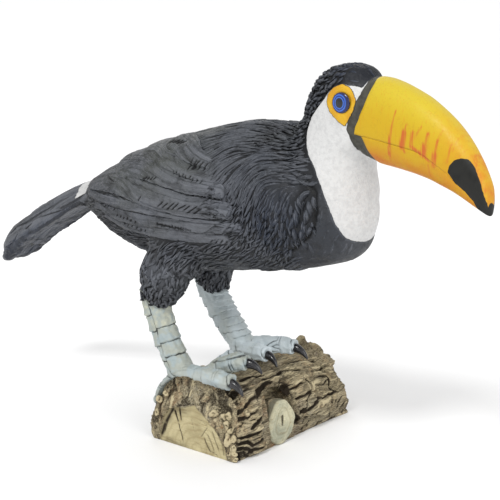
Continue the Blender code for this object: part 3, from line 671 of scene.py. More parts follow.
def bark_material(name, colours, pale_paint, pale_shade):
    """Matte bark paint: brown to tan, black wash and painted shade in the furrows, cream dry-brush and
    painted highlight on the crests.
    """
    material, tree, shader, add = new_material(name, colours.bark, 0.7, Specular_IOR_Level=0.15)
    here = add("TexCoord").outputs["Object"]
    crest, sawn, ring, tone = (add("Attribute", {"attribute_name": name}).outputs["Fac"]
                               for name in ("crest", "sawn", "ring", "tone"))
    # tan, grey, bare and red-brown passages a few centimetres across
    wood = add("TexNoise", Vector=here, Scale=38.0, Detail=4.0)
    wood = add("MapRange", EASED, _0=wood, _1=0.40, _2=0.62)
    grey = add("MapRange", _0=tone, _1=0.0, _2=1.0)
    tan = add("MapRange", _0=tone, _1=0.0, _2=-1.0)
    warm = add("TexNoise", Vector=here, Scale=58.0, Detail=3.0)
    warm = add("MapRange", EASED, _0=warm, _1=0.50, _2=0.62, _4=0.7)
    # fibres run along the log, about a millimetre apart
    grain = add("Mapping", Vector=here, Scale=(700.0, 90.0, 700.0))
    grain = add("TexNoise", Vector=grain, Scale=1.0, Detail=3.0, Distortion=0.6)
    fibre = add("MapRange", EASED, _0=grain, _1=0.38, _2=0.56, _3=0.85, _4=0.0)
    bark = colours.bark
    for share, paint in ((wood, colours.bark_tan), (grey, colours.bark_grey), (tan, colours.bark_light),
                         (warm, colours.bark_warm), (fibre, colours.bark_dark)):
        bark = add("Mix", RGBA, _0=share, _6=bark, _7=paint)
    # thin dark wandering lines, three and seven millimetres apart, each with a painted highlight in cream
    # along one side
    for scale, strength in ((150.0, 0.75), (380.0, 0.6)):
        crack = add("Mapping", Vector=here, Location=(scale, 0, 0), Scale=(scale, scale * 0.15, scale))
        crack = add("TexNoise", Vector=crack, Scale=1.0, Detail=2.0, Distortion=1.1)
        line = add("Math", MINUS, _0=crack, _1=0.485)
        line = add("Math", SIZE_OF, _0=line)
        for source, low, high, share, paint in ((crack, 0.62, 0.52, strength * 0.55, colours.bark_cream),
                                                (line, 0.045, 0.02, strength, colours.bark_pit)):
            share = add("MapRange", EASED, _0=source, _1=low, _2=high, _4=share)
            bark = add("Mix", RGBA, _0=share, _6=bark, _7=paint)
    # dark wash and painted shade where the bark lies low, cream dry-brush and a painted highlight over what
    # stands up
    drift = add("Math", TIMES_PLUS, _0=grain, _1=0.5, _2=crest)
    for low, high, share, paint in ((0.62, 0.30, 1.0, colours.bark_pit),
                                    (0.90, 1.12, 0.8, colours.bark_cream)):
        share = add("MapRange", EASED, _0=drift, _1=low, _2=high, _4=share)
        bark = add("Mix", RGBA, _0=share, _6=bark, _7=paint)
    # sawn wood: cream with brown growth rings, saw marks and dark splits
    cloud = add("TexNoise", Vector=here, Scale=55.0, Detail=4.0)
    turn = add("Math", TIMES_PLUS, _0=cloud, _1=1.6, _2=ring)
    turn = add("Math", FOLD, _0=turn, _1=1.0)
    saw = add("Mapping", Vector=here, Rotation=(0, math.radians(-62), 0), Scale=(75.0, 300.0, 620.0))
    saw = add("TexNoise", Vector=saw, Scale=1.0, Detail=3.0)
    pale = pale_paint
    for source, low, high, share, paint in (
            (cloud, 0.35, 0.68, 1.0, pale_shade), (turn, 0.55, 0.98, 0.22, colours.sawn_ring),
            (saw, 0.53, 0.74, 0.45, colours.sawn_ring), (crest, 0.82, 0.20, 1.0, colours.bark_pit)):
        share = add("MapRange", EASED, _0=source, _1=low, _2=high, _4=share)
        pale = add("Mix", RGBA, _0=share, _6=pale, _7=paint)
    fleck = add("TexNoise", Vector=here, Scale=330.0, Detail=3.0)
    fleck = add("Math", TIMES_PLUS, _0=fleck, _1=0.7, _2=sawn)
    edge = add("MapRange", EASED, _0=fleck, _1=0.78, _2=0.92)
    colour = add("Mix", RGBA, _0=edge, _6=bark, _7=pale)
    tree.links.new(colour.outputs[2], shader.inputs["Base Color"])
    rough = add("TexNoise", Vector=here, Scale=450.0, Detail=4.0)
    relief = add("Math", TIMES_PLUS, _0=grain, _1=1.6, _2=rough)
    bump = add("Bump", Strength=0.55, Distance=0.0012, Height=relief)
    tree.links.new(bump.outputs["Normal"], shader.inputs["Normal"])
    return material


# ---------------------------------------------------------------- properties
def paint(name, description, hex_colour):
    return bpy.props.FloatVectorProperty(name=name, description=description, subtype="COLOR",
                                         default=linear(hex_colour), min=0.0, max=1.0)


def length(name, description, metres):
    return bpy.props.FloatProperty(name=name, description=description, default=metres, unit="LENGTH")


class ToucanColours(bpy.types.PropertyGroup):
    """Paints of the statue."""
    charcoal: paint("Charcoal", "Main paint of the plumage", "#3b3d40")
    slate: paint("Slate", "Lighter brushing over the charcoal", "#4c4f55")
    blue_black: paint("Blue black", "Cool passages on shoulder and crown", "#1a2436")
    olive: paint("Olive", "Warm passages on the back", "#3f423a")
    # deep: the wash between the feathers, and the painted shade in the grooves
    deep: paint("Deep", "Wash settled between the feathers", "#101113")
    # rubbed: paint rubbed thin, and the painted highlight along the crests
    rubbed: paint("Rubbed", "Paint rubbed thin on the crests", "#74777e")
    white: paint("White", "Bib and rump", "#cbcbca")
    white_shade: paint("White shade", "Stipple on the bib", "#bababa")
    orbit: paint("Orbit", "Bare skin round the eye", "#cfa326")
    orbit_shade: paint("Orbit shade", "Deeper yolk round the eye", "#c38e20")
    band: paint("Band", "Collar at the bill's root", "#4b4a43")
    band_shade: paint("Band shade", "Brushing on the collar", "#3a3933")
    yellow: paint("Yellow", "Main paint of the bill", "#c5a11b")
    culmen: paint("Culmen", "Greener paint along the ridge", "#c7b12e")
    amber: paint("Amber", "Warm paint low on the bill", "#c67f1d")
    craze: paint("Craze", "Hairlines in the bill's varnish", "#8f6f24")
    rust: paint("Rust", "Streaks dragged over the bill", "#bf5f2a")
    patch: paint("Patch", "Black at the bill's tip", "#222220")
    patch_shade: paint("Patch shade", "Brushing on the black", "#181817")
    pupil: paint("Pupil", "Middle of the eye", "#15161a")
    iris: paint("Iris", "Blue of the eye", "#1c429e")
    iris_light: paint("Light iris", "Light strokes in the eye", "#4277cc")
    rim: paint("Rim", "Dark blue round the eye", "#141b4a")
    leg: paint("Leg", "Pale grey of the scutes", "#9ca198")
    leg_blue: paint("Leg blue", "Blue-grey of the scutes", "#98a4a5")
    leg_cream: paint("Leg cream", "Cream rubbed on the scutes", "#bcbca6")
    # painted light: a paler, cooler paint that stands in for light on the far leg, which lies in shade
    leg_pale_and_painted_light: paint("Leg light", "Paler cool paint, mostly on the far leg", "#bac4c8")
    # painted shade high and low on the legs
    leg_grey: paint("Leg grey", "Shaded far leg and joints", "#7b8483")
    leg_wash: paint("Leg wash", "Dark wash between the scutes", "#3a3d3c")
    claw: paint("Claw", "Enamel of the claws", "#18181b")
    claw_rub: paint("Claw rub", "Grey rubbed on the claws", "#4a4a50")
    bark: paint("Bark", "Main brown of the bark", "#6a5d48")
    bark_tan: paint("Bark tan", "Tan passages of the bark", "#8c8071")
    bark_grey: paint("Bark grey", "Weathered plates", "#7a766a")
    bark_light: paint("Bark light", "Bare tan wood", "#a39678")
    bark_warm: paint("Bark rust", "Red-brown paint in patches on the bark", "#87613c")
    bark_dark: paint("Bark dark", "Dark fibres", "#40362a")
    bark_pit: paint("Bark pit", "Wash in the furrows", "#2b241b")
    # bark cream: dry-brush on the crests, and the painted highlight on the bark's crests and along its fine
    # lines
    bark_cream: paint("Bark cream", "Dry-brushed crests", "#c3b694")
    sawn: paint("Sawn", "Cream of the sawn wood", "#c0b58f")
    sawn_shade: paint("Sawn shade", "Darker sawn wood", "#a89c78")
    knot: paint("Knot", "Sawn branch stub", "#cdc8ab")
    knot_shade: paint("Knot shade", "Cooler paint on the stub", "#a2a38f")
    sawn_ring: paint("Sawn ring", "Growth rings", "#7d6a45")
    floor: paint("Floor", "Ground under the statue", "#f4f4f4")


class ToucanSizes(bpy.types.PropertyGroup):
    """Sizes of the carving."""
    skin_voxel: length("Skin mesh", "Quad size before it is halved", 0.0030)
    vane_cell: length("Vane cell", "Mesh size of the long feathers", 0.00075)
    leg_voxel: length("Leg mesh", "Mesh size of the scutes", 0.0007)
    log_voxel: length("Bark mesh", "Mesh size of the bark", 0.0009)
    coat_depth: length("Coat depth", "How far the skin lies under the feathers", 0.0011)


# ---------------------------------------------------------------------- skin
# The folded wing's front edge seen from the side: height, then x, in mm.
WING_EDGE = ((188, 81), (197, 104), (212, 121), (222, 127), (233, 128), (247, 128), (254, 121), (264, 112))


def wing_crease(points):
    """Distance in mm to the folded wing's front edge, and 1 on the wing's side of it."""
    table = np.array(WING_EDGE, float)
    side = points[:, (0, 2)] / MM
    gap = edge_distance(side + 1.2 * noise(points, 0.008, 75)[:, None], table[:, ::-1])[0]
    gap = np.where((np.abs(points[:, 1] - BIRD_Y) < 0.012) | (side[:, 1] > 262), 99.0, gap)
    wing_side = side[:, 0] < np.interp(side[:, 1], table[:, 0], table[:, 1])
    return gap, wing_side


FLESH = ("trunk", "neck", "head", "wing_left", "wing_right", "tail", "thigh_left", "thigh_right")
SKIN = {}                            # the skin's object, search tree and paint, for what lies on it


def bill_root(name):
    """The rear end of a bill node, as a closed plug for the head's skin."""
    bm = node_copy(name, -0.0007)
    root = turned([[78.0, 0.0, 300.0]])[0]
    facing = Vector((math.cos(HEAD_TURN), math.sin(HEAD_TURN), 0))
    geometry = list(bm.verts) + list(bm.edges) + list(bm.faces)
    bmesh.ops.bisect_plane(bm, geom=geometry, dist=0.00001, plane_co=Vector(root), plane_no=facing,
                           clear_outer=True)
    open_edges = [edge for edge in bm.edges if len(edge.link_faces) == 1]
    bmesh.ops.holes_fill(bm, edges=open_edges, sides=0)
    bmesh.ops.translate(bm, verts=[v for v in bm.verts if straightened([v.co])[0][0] < 60],
                        vec=-facing * 0.002)
    return bm


class TOUCAN_OT_skin(bpy.types.Operator):
    """One skin over trunk, neck, head, wings, tail and thighs"""
    bl_idname = "toucan.skin"
    bl_label = "Skin"

    def execute(self, context):
        sizes = context.scene.toucan_sizes
        parts = [node_copy(name, 0.0003) for name in FLESH]
        parts += [bill_root("bill_upper"), bill_root("bill_lower")]
        skin = joined("skin", parts)
        remeshed(skin, sizes.skin_voxel)
        relaxed(skin.data, 6)
        modifier = skin.modifiers.new("finer", "SUBSURF")
        modifier.levels = modifier.render_levels = 1
        baked(skin)
        mesh = skin.data
        points = points_of(mesh)
        x, z = points[:, 0], points[:, 2]
        normals = normals_of(mesh)
        marks = markings(points)
        bare = smooth_step(-1.5, 0.5, np.maximum(marks["white"], marks["band"]))
        head = straightened(points)
        # under the coat all over, proud round the eye and sunk under its ball
        depth = -sizes.coat_depth * (1 - bare) + 0.0007 * smooth_step(-0.8, 0.8, marks["orbit"])
        eye_gap = np.linalg.norm(head[:, (0, 2)] - EYE[[0, 2]], axis=1)
        depth -= 0.0012 * (1 - smooth_step(6.5, 9.0, eye_gap)) * (np.abs(head[:, 1]) > 12)
        depth += 0.0004 * layered(points, 0.012, 3, 2)
        thigh = smooth_step(0.178, 0.160, z) * smooth_step(0.0, -0.02, x)
        depth += 0.0023 * thigh * layered(points, 0.010, 8)
        # the folded wing stands over the breast, with a crease along its edge
        gap, wing_side = wing_crease(points)
        depth += 0.0017 * np.exp(-gap / 7.0) * wing_side - 0.0016 * np.exp(-(gap / 1.5) ** 2)
        # the belly's line wanders, the nape is drawn in, and mantle and low breast are full
        depth += 0.0011 * layered(points, 0.017, 9, 2) * smooth_step(0.190, 0.172, z) * (1 - bare)
        depth -= 0.0030 * smooth_step(40, 18, head[:, 0]) * smooth_step(293, 306, head[:, 2]) * (1 - bare)
        mantle = smooth_step(0.270, 0.282, z) * (head[:, 2] < 296)
        depth += 0.0014 * swell(points, 55, 0, 40, np.inf) * mantle
        depth += 0.0034 * swell(points, 143, 192, 14, 14) * (1 - bare)
        depth -= 0.0036 * swell(points, -64, 172, 12, 14)
        # the tail's underside is flat behind its root and full at its end
        below = smooth_step(0.1, -0.5, normals[:, 2])
        depth -= 0.0038 * smooth_step(-0.160, -0.180, x) * smooth_step(-0.300, -0.232, x) * below
        depth += 0.0028 * smooth_step(-0.240, -0.290, x) * below
        points += normals * depth[:, None]
        ankle = smooth_step(0.168, 0.136, z) * (x > -0.041) * (x < 0.02)
        x += ankle * 0.34 * (-0.041 - x)
        put_points(mesh, points)
        put_markings(mesh)
        unwrap_skin(mesh)
        # the crest value gives the skin its wash and painted shade: most under the crown's tufts and in the
        # wing's crease, least where the tufts are low, on the thighs and on bare paint
        crown = smooth_step(275, 290, head[:, 2] + 0.5 * head[:, 0])
        smooth = smooth_step(1.0, 0.3, tuft_sizes(points)[:, 2])
        put_values(mesh, crest=0.26 - 0.14 * crown + 0.17 * smooth + 0.16 * thigh + 0.7 * bare
                  - 0.45 * np.exp(-(gap / 1.7) ** 2) * (1 - bare))
        SKIN["paint"] = plumage_material(context.scene.toucan_colours)
        finished(skin, SKIN["paint"], "plumage_paint", *FLESH)
        SKIN["item"] = skin
        SKIN["tree"] = tree_of(skin)
        return {"FINISHED"}


def oliveness(points):
    """Where the paint turns warm: along the back and the upper long feathers."""
    high = smooth_step(0.238, 0.262, points[:, 2]) * smooth_step(0.035, -0.03, points[:, 0])
    warm = np.maximum(0.7 * high, 0.8 * swell(points, -75, 236, 50, 18))
    return np.clip(warm + 0.35 * noise(points, 0.018, 6) - 0.05, 0, 0.9)


def paleness(points):
    """How much rubbed paint there is, over the feathers' roots, thighs and tail.

    It is under zero where the paint is dark, at the wing tips and over the rump.
    """
    x, z = points[:, 0], points[:, 2]
    roots = smooth_step(-0.085, -0.03, x) * smooth_step(0.084, 0.064, x) * smooth_step(0.180, 0.192, z)
    roots *= smooth_step(0.264, 0.246, z)
    thighs = smooth_step(0.176, 0.166, z) * smooth_step(0.0, -0.01, x) * (x > -0.10)
    tips = smooth_step(-0.092, -0.122, x) * smooth_step(-0.172, -0.160, x)
    upper = smooth_step(0.244, 0.256, z) * smooth_step(-0.02, -0.05, x) * smooth_step(-0.12, -0.09, x)
    tail = smooth_step(-0.176, -0.190, x) * smooth_step(-0.275, -0.255, x)
    pale = 0.24 * roots + 0.26 * thighs + 0.2 * tail - 0.46 * tips - 0.32 * upper
    return pale + 0.10 * noise(points, 0.02, 78)


def blueness(points):
    """Where the paint turns blue: crown, wing bend and the tail's flank."""
    head = straightened(points)
    crown = smooth_step(330, 342, head[:, 2]) * smooth_step(15, 40, head[:, 0])
    over = points[:, 2] - TAIL_ROOT[2] - (points[:, 0] - TAIL_ROOT[0]) * math.tan(-TAIL_SLOPE)
    tail = smooth_step(0.17, 0.19, -points[:, 0]) * smooth_step(0.003, -0.003, over) * 0.85
    blue = np.maximum.reduce([crown, 0.9 * swell(points, 88, 220, 40, 36), tail])
    return np.clip(blue + 0.25 * noise(points, 0.02, 5), 0, 1)


def put_markings(mesh):
    """Gives a coat or skin the values that its paint is mixed by."""
    points = points_of(mesh)
    put_values(mesh, **markings(points), blue=blueness(points), olive=oliveness(points),
               pale=paleness(points))


# ------------------------------------------------------------------- feathers
# Rows of short knife cuts on wing and tail, seen from the side: the row's ends (x, z),
# how many, each cut's length and its rise in degrees, all in mm.
CUTS = ((-34, 222, 20, 222.5, 8, 13, 30), (-120, 208.5, -98, 208, 4, 4, 50),
        (-100, 203, -66, 200, 6, 4, 40), (-60, 239, -37, 243, 5, 5, 40), (-19, 251, 20, 246, 9, 4, 52),
        (1, 259, 24, 258, 6, 9, 58), (-40, 270, -16, 273, 4, 9, 22), (-60, 222.5, -59, 222.5, 1, 6, 45),
        (-113, 232, -112, 232, 1, 16, -3), (-37, 203.6, 6, 203, 12, 3.6, 74),
        (-38, 203.4, 6, 203, 5, 9, -1), (-18, 190, 26, 187, 9, 9, 34), (22, 196, 44, 197, 4, 6, 38),
        (24, 220, 42, 219, 5, 5, 48), (-90, 196, -55, 194, 6, 3.5, 42), (-181, 202, -181, 202, 1, 36, 33),
        (-186, 199.5, -186, 199.5, 1, 30, 31), (-212, 186, -212, 186, 1, 40, 25),
        (-210, 196, -210, 196, 1, 18, 29), (-237, 180.5, -237, 180.5, 1, 9, 36),
        (-246, 169, -246, 169, 1, 11, 42), (-268, 143, -268, 143, 1, 12, 46),
        (-256, 150, -256, 150, 1, 9, 78), (-262, 158, -270, 150, 4, 7, 62),
        (-226, 170, -214, 177, 4, 6, 70))
# Tail feathers, root to tip: distance along the tail, sideways, height over
# its axis and half width, in mm.
TAIL_FEATHERS = {
    "under": ((6, 0, -9, 10), (60, 0, -10, 14), (120, 0, -12, 15), (161, 0, -13, 10)),
    "hem": ((4, 13, -1, 5), (50, 19, -3, 6.5), (110, 21, -6, 7.0), (160, 13, -7, 5)),
    "flank": ((2, 13, 3, 6), (50, 21, 5, 8), (110, 23, 4, 8.5), (150, 17, 3, 7), (167, 8, 2, 4)),
    "back": ((0, 8, 10, 6), (50, 11, 17, 8), (110, 12, 19, 9), (148, 9, 14, 8), (164, 5, 7, 5)),
    "cover": ((-4, 8, 11, 5), (30, 9, 17, 7.5), (80, 10, 20, 8.5), (102, 9, 20, 8), (110, 8, 19, 7)),
    "spine": ((-6, 0, 12, 5), (40, 0, 19, 6), (85, 0, 21, 6.5), (106, 0, 21, 5.5)),
}


def spread(fine, coarse):
    """Weights that carry values at even coarse places to even fine ones on a smooth curve."""
    place = np.linspace(0, coarse - 1, fine)
    cell = np.minimum(place.astype(int), coarse - 2)
    t = place - cell
    weights = np.zeros((fine, coarse))
    for step, share in ((-1, (-t + 2 * t ** 2 - t ** 3) / 2), (0, (2 - 5 * t ** 2 + 3 * t ** 3) / 2),
                        (1, (t + 4 * t ** 2 - 3 * t ** 3) / 2), (2, (t ** 3 - t ** 2) / 2)):
        np.add.at(weights, (np.arange(fine), np.clip(cell + step, 0, coarse - 1)), share)
    return weights


def cut_marks(points):
    """How deep the knife went at each point, 0 to 1."""
    chance = np.random.default_rng(4)
    side = points[:, (0, 2)] / MM
    total = np.zeros(len(points))
    for ax, az, bx, bz, count, length, rise in CUTS:
        for i in range(count):
            share = (i + 0.5) / count
            x = ax + (bx - ax) * share + chance.uniform(-1, 1)
            z = az + (bz - az) * share + chance.uniform(-0.8, 0.8)
            angle = math.radians(rise + chance.uniform(-7, 7))
            reach = length * chance.uniform(0.35, 0.6)
            step = np.array([math.cos(angle), math.sin(angle)]) * reach
            near = (np.abs(side[:, 0] - x) < reach + 2) & (np.abs(side[:, 1] - z) < reach + 2)
            if near.any():
                middle = np.array([x, z])
                gap, along = edge_distance(side[near], (middle - step, middle + step))
                ends = np.clip(4 * np.minimum(along, 1 - along) + 0.25, 0, 1)
                total[near] = np.maximum(total[near], ends * np.exp(-(gap / 0.62) ** 2))
    return total


VANE_SINK = 1.0                      # how far a long feather's underside lies in the body, mm
VANE_RAG = 0.8                       # how far its edges are torn, mm
VANE_ROOT, VANE_TIP = 5.0, 1.3       # how long its rounded root is in mm, and its tip in half widths


def vane(tree, guide, half_widths, lift, crown, cell, seed, tilt=0.0):
    """One long feather lying on a surface.

    `guide` runs root to tip near the surface, in metres; widths, heights and the
    cell size are in mm. `tilt` raises one edge over its neighbour. Gives the
    places, their crest, along and across values, and a closed bmesh.
    """
    guide = np.asarray(guide, float)
    passed = np.concatenate([[0], np.cumsum(np.linalg.norm(np.diff(guide, axis=0), axis=1))])
    total = passed[-1]
    count = max(int(total / 0.003), 6)
    even = np.linspace(0, total, count)
    line = np.stack([np.interp(even, passed, guide[:, k]) for k in range(3)], axis=1)
    for _ in range(4):
        line[1:-1] = (line[:-2] + 2 * line[1:-1] + line[2:]) / 4
    half = np.interp(even, passed, half_widths) * MM
    heading = np.gradient(line, axis=0)
    heading /= np.linalg.norm(heading, axis=1, keepdims=True)
    normals = on_surface(tree, line)[1]
    side = np.cross(normals, heading)
    side /= np.linalg.norm(side, axis=1, keepdims=True)
    # the surface under the feather, as cubic curves from edge to edge
    t = np.linspace(-1, 1, 9)
    net = line[:, None] + side[:, None] * (half[:, None] * t)[..., None]
    spots, normals = on_surface(tree, net.reshape(-1, 3))
    basis = np.linalg.pinv(np.stack([t ** k for k in range(4)], axis=1))
    rows = max(int(total / (cell * MM)), 24)
    columns = max(int(2 * half.max() / (cell * MM)), 8)
    carry = spread(rows, count)
    place = np.einsum("ka,nac->nkc", basis, spots.reshape(count, len(t), 3))
    facing = np.einsum("ka,nac->nkc", basis, normals.reshape(count, len(t), 3))
    for _ in range(3):
        facing[1:-1] = (facing[:-2] + facing[1:-1] + facing[2:]) / 3
        place[1:-1] = (place[:-2] + 2 * place[1:-1] + place[2:]) / 4
    place = np.einsum("in,nkc->ikc", carry, place)
    facing = np.einsum("in,nkc->ikc", carry, facing)
    run = np.linspace(0, total / MM, rows)
    wide = np.interp(run * MM, even, half) / MM
    rounding = np.minimum(run / VANE_ROOT, 1)
    tip = np.minimum((run[-1] - run) / (VANE_TIP * max(wide[-1], 2.0)), 1)
    close = np.sqrt(np.maximum(1 - (1 - rounding) ** 2, 0)) * np.sqrt(np.maximum(1 - (1 - tip) ** 2, 0))
    # the top runs edge to edge, then the underside comes back under the surface
    top = np.linspace(-1, 1, columns)
    under = np.linspace(0.9, -0.9, 4)
    t_all = np.concatenate([top, under])
    # torn edges, each side on its own
    torn = np.stack([run / 4.2, run * 0, np.full(rows, seed * 5.7)], axis=1)
    torn = np.stack([layered(torn + k, 1.0, seed + 9, 3) for k in (0, 50)], axis=1)
    torn = 1 + np.where(t_all[None, :] < 0, torn[:, :1], torn[:, 1:]) * (VANE_RAG / wide)[:, None]
    t_place = t_all[None, :] * torn * close[:, None]
    powers = np.stack([t_place ** k for k in range(4)], axis=-1)
    base = np.einsum("ijk,ikc->ijc", powers, place)
    out = np.einsum("ijk,ikc->ijc", powers, facing)
    out /= np.linalg.norm(out, axis=2, keepdims=True)
    edge_start = np.clip(1 - 1.0 / np.maximum(wide, 1.2), 0.1, 0.95)[:, None]
    past = np.clip((np.abs(top)[None, :] - edge_start) / (1 - edge_start), 0, 1)
    shoulder = np.sqrt(np.maximum(1 - past ** 2, 0))
    # ripples 26 mm long and 1.9 mm across, and deeper lanes between the barbs
    far_in = np.repeat(run[:, None], columns, 1)
    beside = top[None, :] * wide[:, None]
    flat = np.stack([far_in / 26, beside / 1.9, np.full((rows, columns), seed * 3.1)], axis=-1)
    ripple = layered(flat.reshape(-1, 3), 1.0, seed, 2).reshape(rows, columns)
    raised = np.interp(run, np.linspace(0, run[-1], len(lift)), lift)[:, None]
    height = raised + tilt * top[None, :] + crown * (1 - np.abs(top[None, :]) ** 2.2) + 0.26 * ripple
    height *= 0.35 + 0.65 * close[:, None]
    height = (height + VANE_SINK) * shoulder * np.minimum(1, 0.25 + 1.2 * close[:, None]) - VANE_SINK
    lane = np.stack([far_in / 42, beside / 4.2, np.full((rows, columns), seed * 7.7)], axis=-1)
    lane = noise(lane.reshape(-1, 3), 1.0, seed + 40).reshape(rows, columns)
    lane = np.exp(-(lane / 0.13) ** 2) * smooth_step(0.0, 6.0, run)[:, None]
    height -= 0.45 * lane * shoulder
    knife = cut_marks(base[:, :columns].reshape(-1, 3)).reshape(rows, columns)
    height -= 0.95 * knife * shoulder
    # the crest value paints wash and painted shade down the rounded edges and in the knife cuts and lanes, a
    # painted highlight just inside each edge, and lighter paint near the root
    crest = (0.18 + 0.62 * shoulder + 0.13 * ripple) * (0.55 + 0.45 * close[:, None])
    crest -= 0.85 * knife + 0.38 * lane
    crest += 0.30 * np.exp(-((past - 0.45) / 0.3) ** 2) * close[:, None]
    crest += 0.10 * np.exp(-run / 30)[:, None]
    height = np.concatenate([height, np.full((rows, len(under)), -VANE_SINK)], axis=1)
    crest = np.concatenate([crest, np.zeros((rows, len(under)))], axis=1)
    places = base + out * (height * MM)[..., None]
    places[0] = places[0].mean(axis=0)
    places[-1] = places[-1].mean(axis=0)
    bm = wrapped_grid(places)
    values = np.stack([crest, np.repeat(run[:, None], len(t_all), 1) + 40 * seed,
                       t_all[None, :] * wide[:, None] + 17 * seed], axis=-1)
    return places, values, bm


def vane_piece(name, tree, vanes):
    """Joins a list of vane settings to one coat piece with its attributes."""
    bodies = []
    keys = []
    values = []
    for settings in vanes:
        places, value, bm = vane(tree, **settings)
        bodies.append(bm)
        keys.append(places.reshape(-1, 3))
        values.append(value.reshape(-1, 3))
    piece = joined(name, bodies)
    mesh = piece.data
    source = np.concatenate(keys)
    value = np.concatenate(values)
    order = nearest_rows(source, points_of(mesh))
    crest, along, across = value[order].T
    put_values(mesh, crest=crest, along=along, across=across)
    put_markings(mesh)
    unwrap_skin(mesh)
    return piece


def nearest_rows(source, points):
    """Row of `source` that each point came from."""
    grid = {key: i for i, key in enumerate(map(tuple, np.round(source * 1e5).astype(np.int64)))}
    rows = np.zeros(len(points), np.int64)
    for i, key in enumerate(map(tuple, np.round(points * 1e5).astype(np.int64))):
        rows[i] = grid.get(key, -1)
    for i in np.nonzero(rows < 0)[0]:
        rows[i] = np.argmin(((source - points[i]) ** 2).sum(axis=1))
    return rows


def wing_guide(tree, rows, side):
    """Points on the body's surface under one wing feather, root to tip."""
    rows = np.array(rows, float)
    points = []
    for share in np.linspace(0, len(rows) - 1, 40):
        x, angle = (np.interp(share, range(len(rows)), rows[:, k]) for k in (0, 1))
        middle = spine_at(np.array([x * MM]))[0]
        centre = Vector((x * MM, BIRD_Y, float(middle[0])))
        away = Vector((0, side * 0.8 * math.cos(math.radians(angle)), math.sin(math.radians(angle))))
        spot = tree.ray_cast(centre + away * 0.14, -away)[0]
        if spot is not None:
            points.append(spot)
    steps = np.linspace(0, len(rows) - 1, len(points))
    return np.array(points), np.interp(steps, range(len(rows)), rows[:, 2])


# How high each wing feather stands, from the lowest up, and how much more at its tip, in mm.
WING_STEPS = (0.7, 1.0, 1.2, 1.6, 2.3, 3.1, 3.9)
WING_TIPS = (0.8, 0.8, 0.6, 0.6, 2.6, 1.8, 1.6)


class TOUCAN_OT_wings(bpy.types.Operator):
    """Overlapping long feathers of both wings"""
    bl_idname = "toucan.wings"
    bl_label = "Wing feathers"

    def execute(self, context):
        cell = context.scene.toucan_sizes.vane_cell / MM
        for side, label in ((1, "left"), (-1, "right")):
            vanes = []
            for i, (rows, step, tip) in enumerate(zip(WING_FEATHERS.values(), WING_STEPS, WING_TIPS)):
                guide, half = wing_guide(SKIN["tree"], rows, side)
                # the upper feathers rise out of the combed plumage
                root = -1.0 if i > 4 else step + 0.3
                lift = (root, step, step, step - 0.2, step + tip)
                vanes.append({"guide": guide, "half_widths": half, "lift": lift, "crown": 0.9,
                              "cell": cell, "seed": i + 1, "tilt": -0.75 * side})
            wing = vane_piece("wing_feathers_" + label, SKIN["tree"], vanes)
            finished(wing, SKIN["paint"], "plumage_paint")
        return {"FINISHED"}


class TOUCAN_OT_tail(bpy.types.Operator):
    """Stiff feathers of the tail, the upper ones shorter"""
    bl_idname = "toucan.tail"
    bl_label = "Tail feathers"

    def execute(self, context):
        cell = context.scene.toucan_sizes.vane_cell / MM
        back = np.array([-math.cos(TAIL_SLOPE), 0, math.sin(TAIL_SLOPE)])
        up = np.array([math.sin(TAIL_SLOPE), 0, math.cos(TAIL_SLOPE)])
        vanes = []
        for i, rows in enumerate(TAIL_FEATHERS.values()):
            rows = np.array(rows, float)
            for side in ((1, -1) if rows[0, 1] else (0,)):
                steps = np.linspace(0, len(rows) - 1, 50)
                run, out, rise, half = (np.interp(steps, range(len(rows)), rows[:, k]) for k in range(4))
                guide = (TAIL_ROOT + run[:, None] * MM * back + rise[:, None] * MM * up
                         + (side * out * MM)[:, None] * np.array([0, 1, 0]))
                lift = (-0.2, 0.4 * i - 0.4, 0.45 * i - 0.3)
                vanes.append({"guide": guide, "half_widths": half, "lift": lift, "crown": 0.8,
                              "cell": cell * 1.15, "seed": i + 20 + (side > 0)})
        tail = vane_piece("tail_feathers", SKIN["tree"], vanes)
        finished(tail, SKIN["paint"], "plumage_paint")
        return {"FINISHED"}


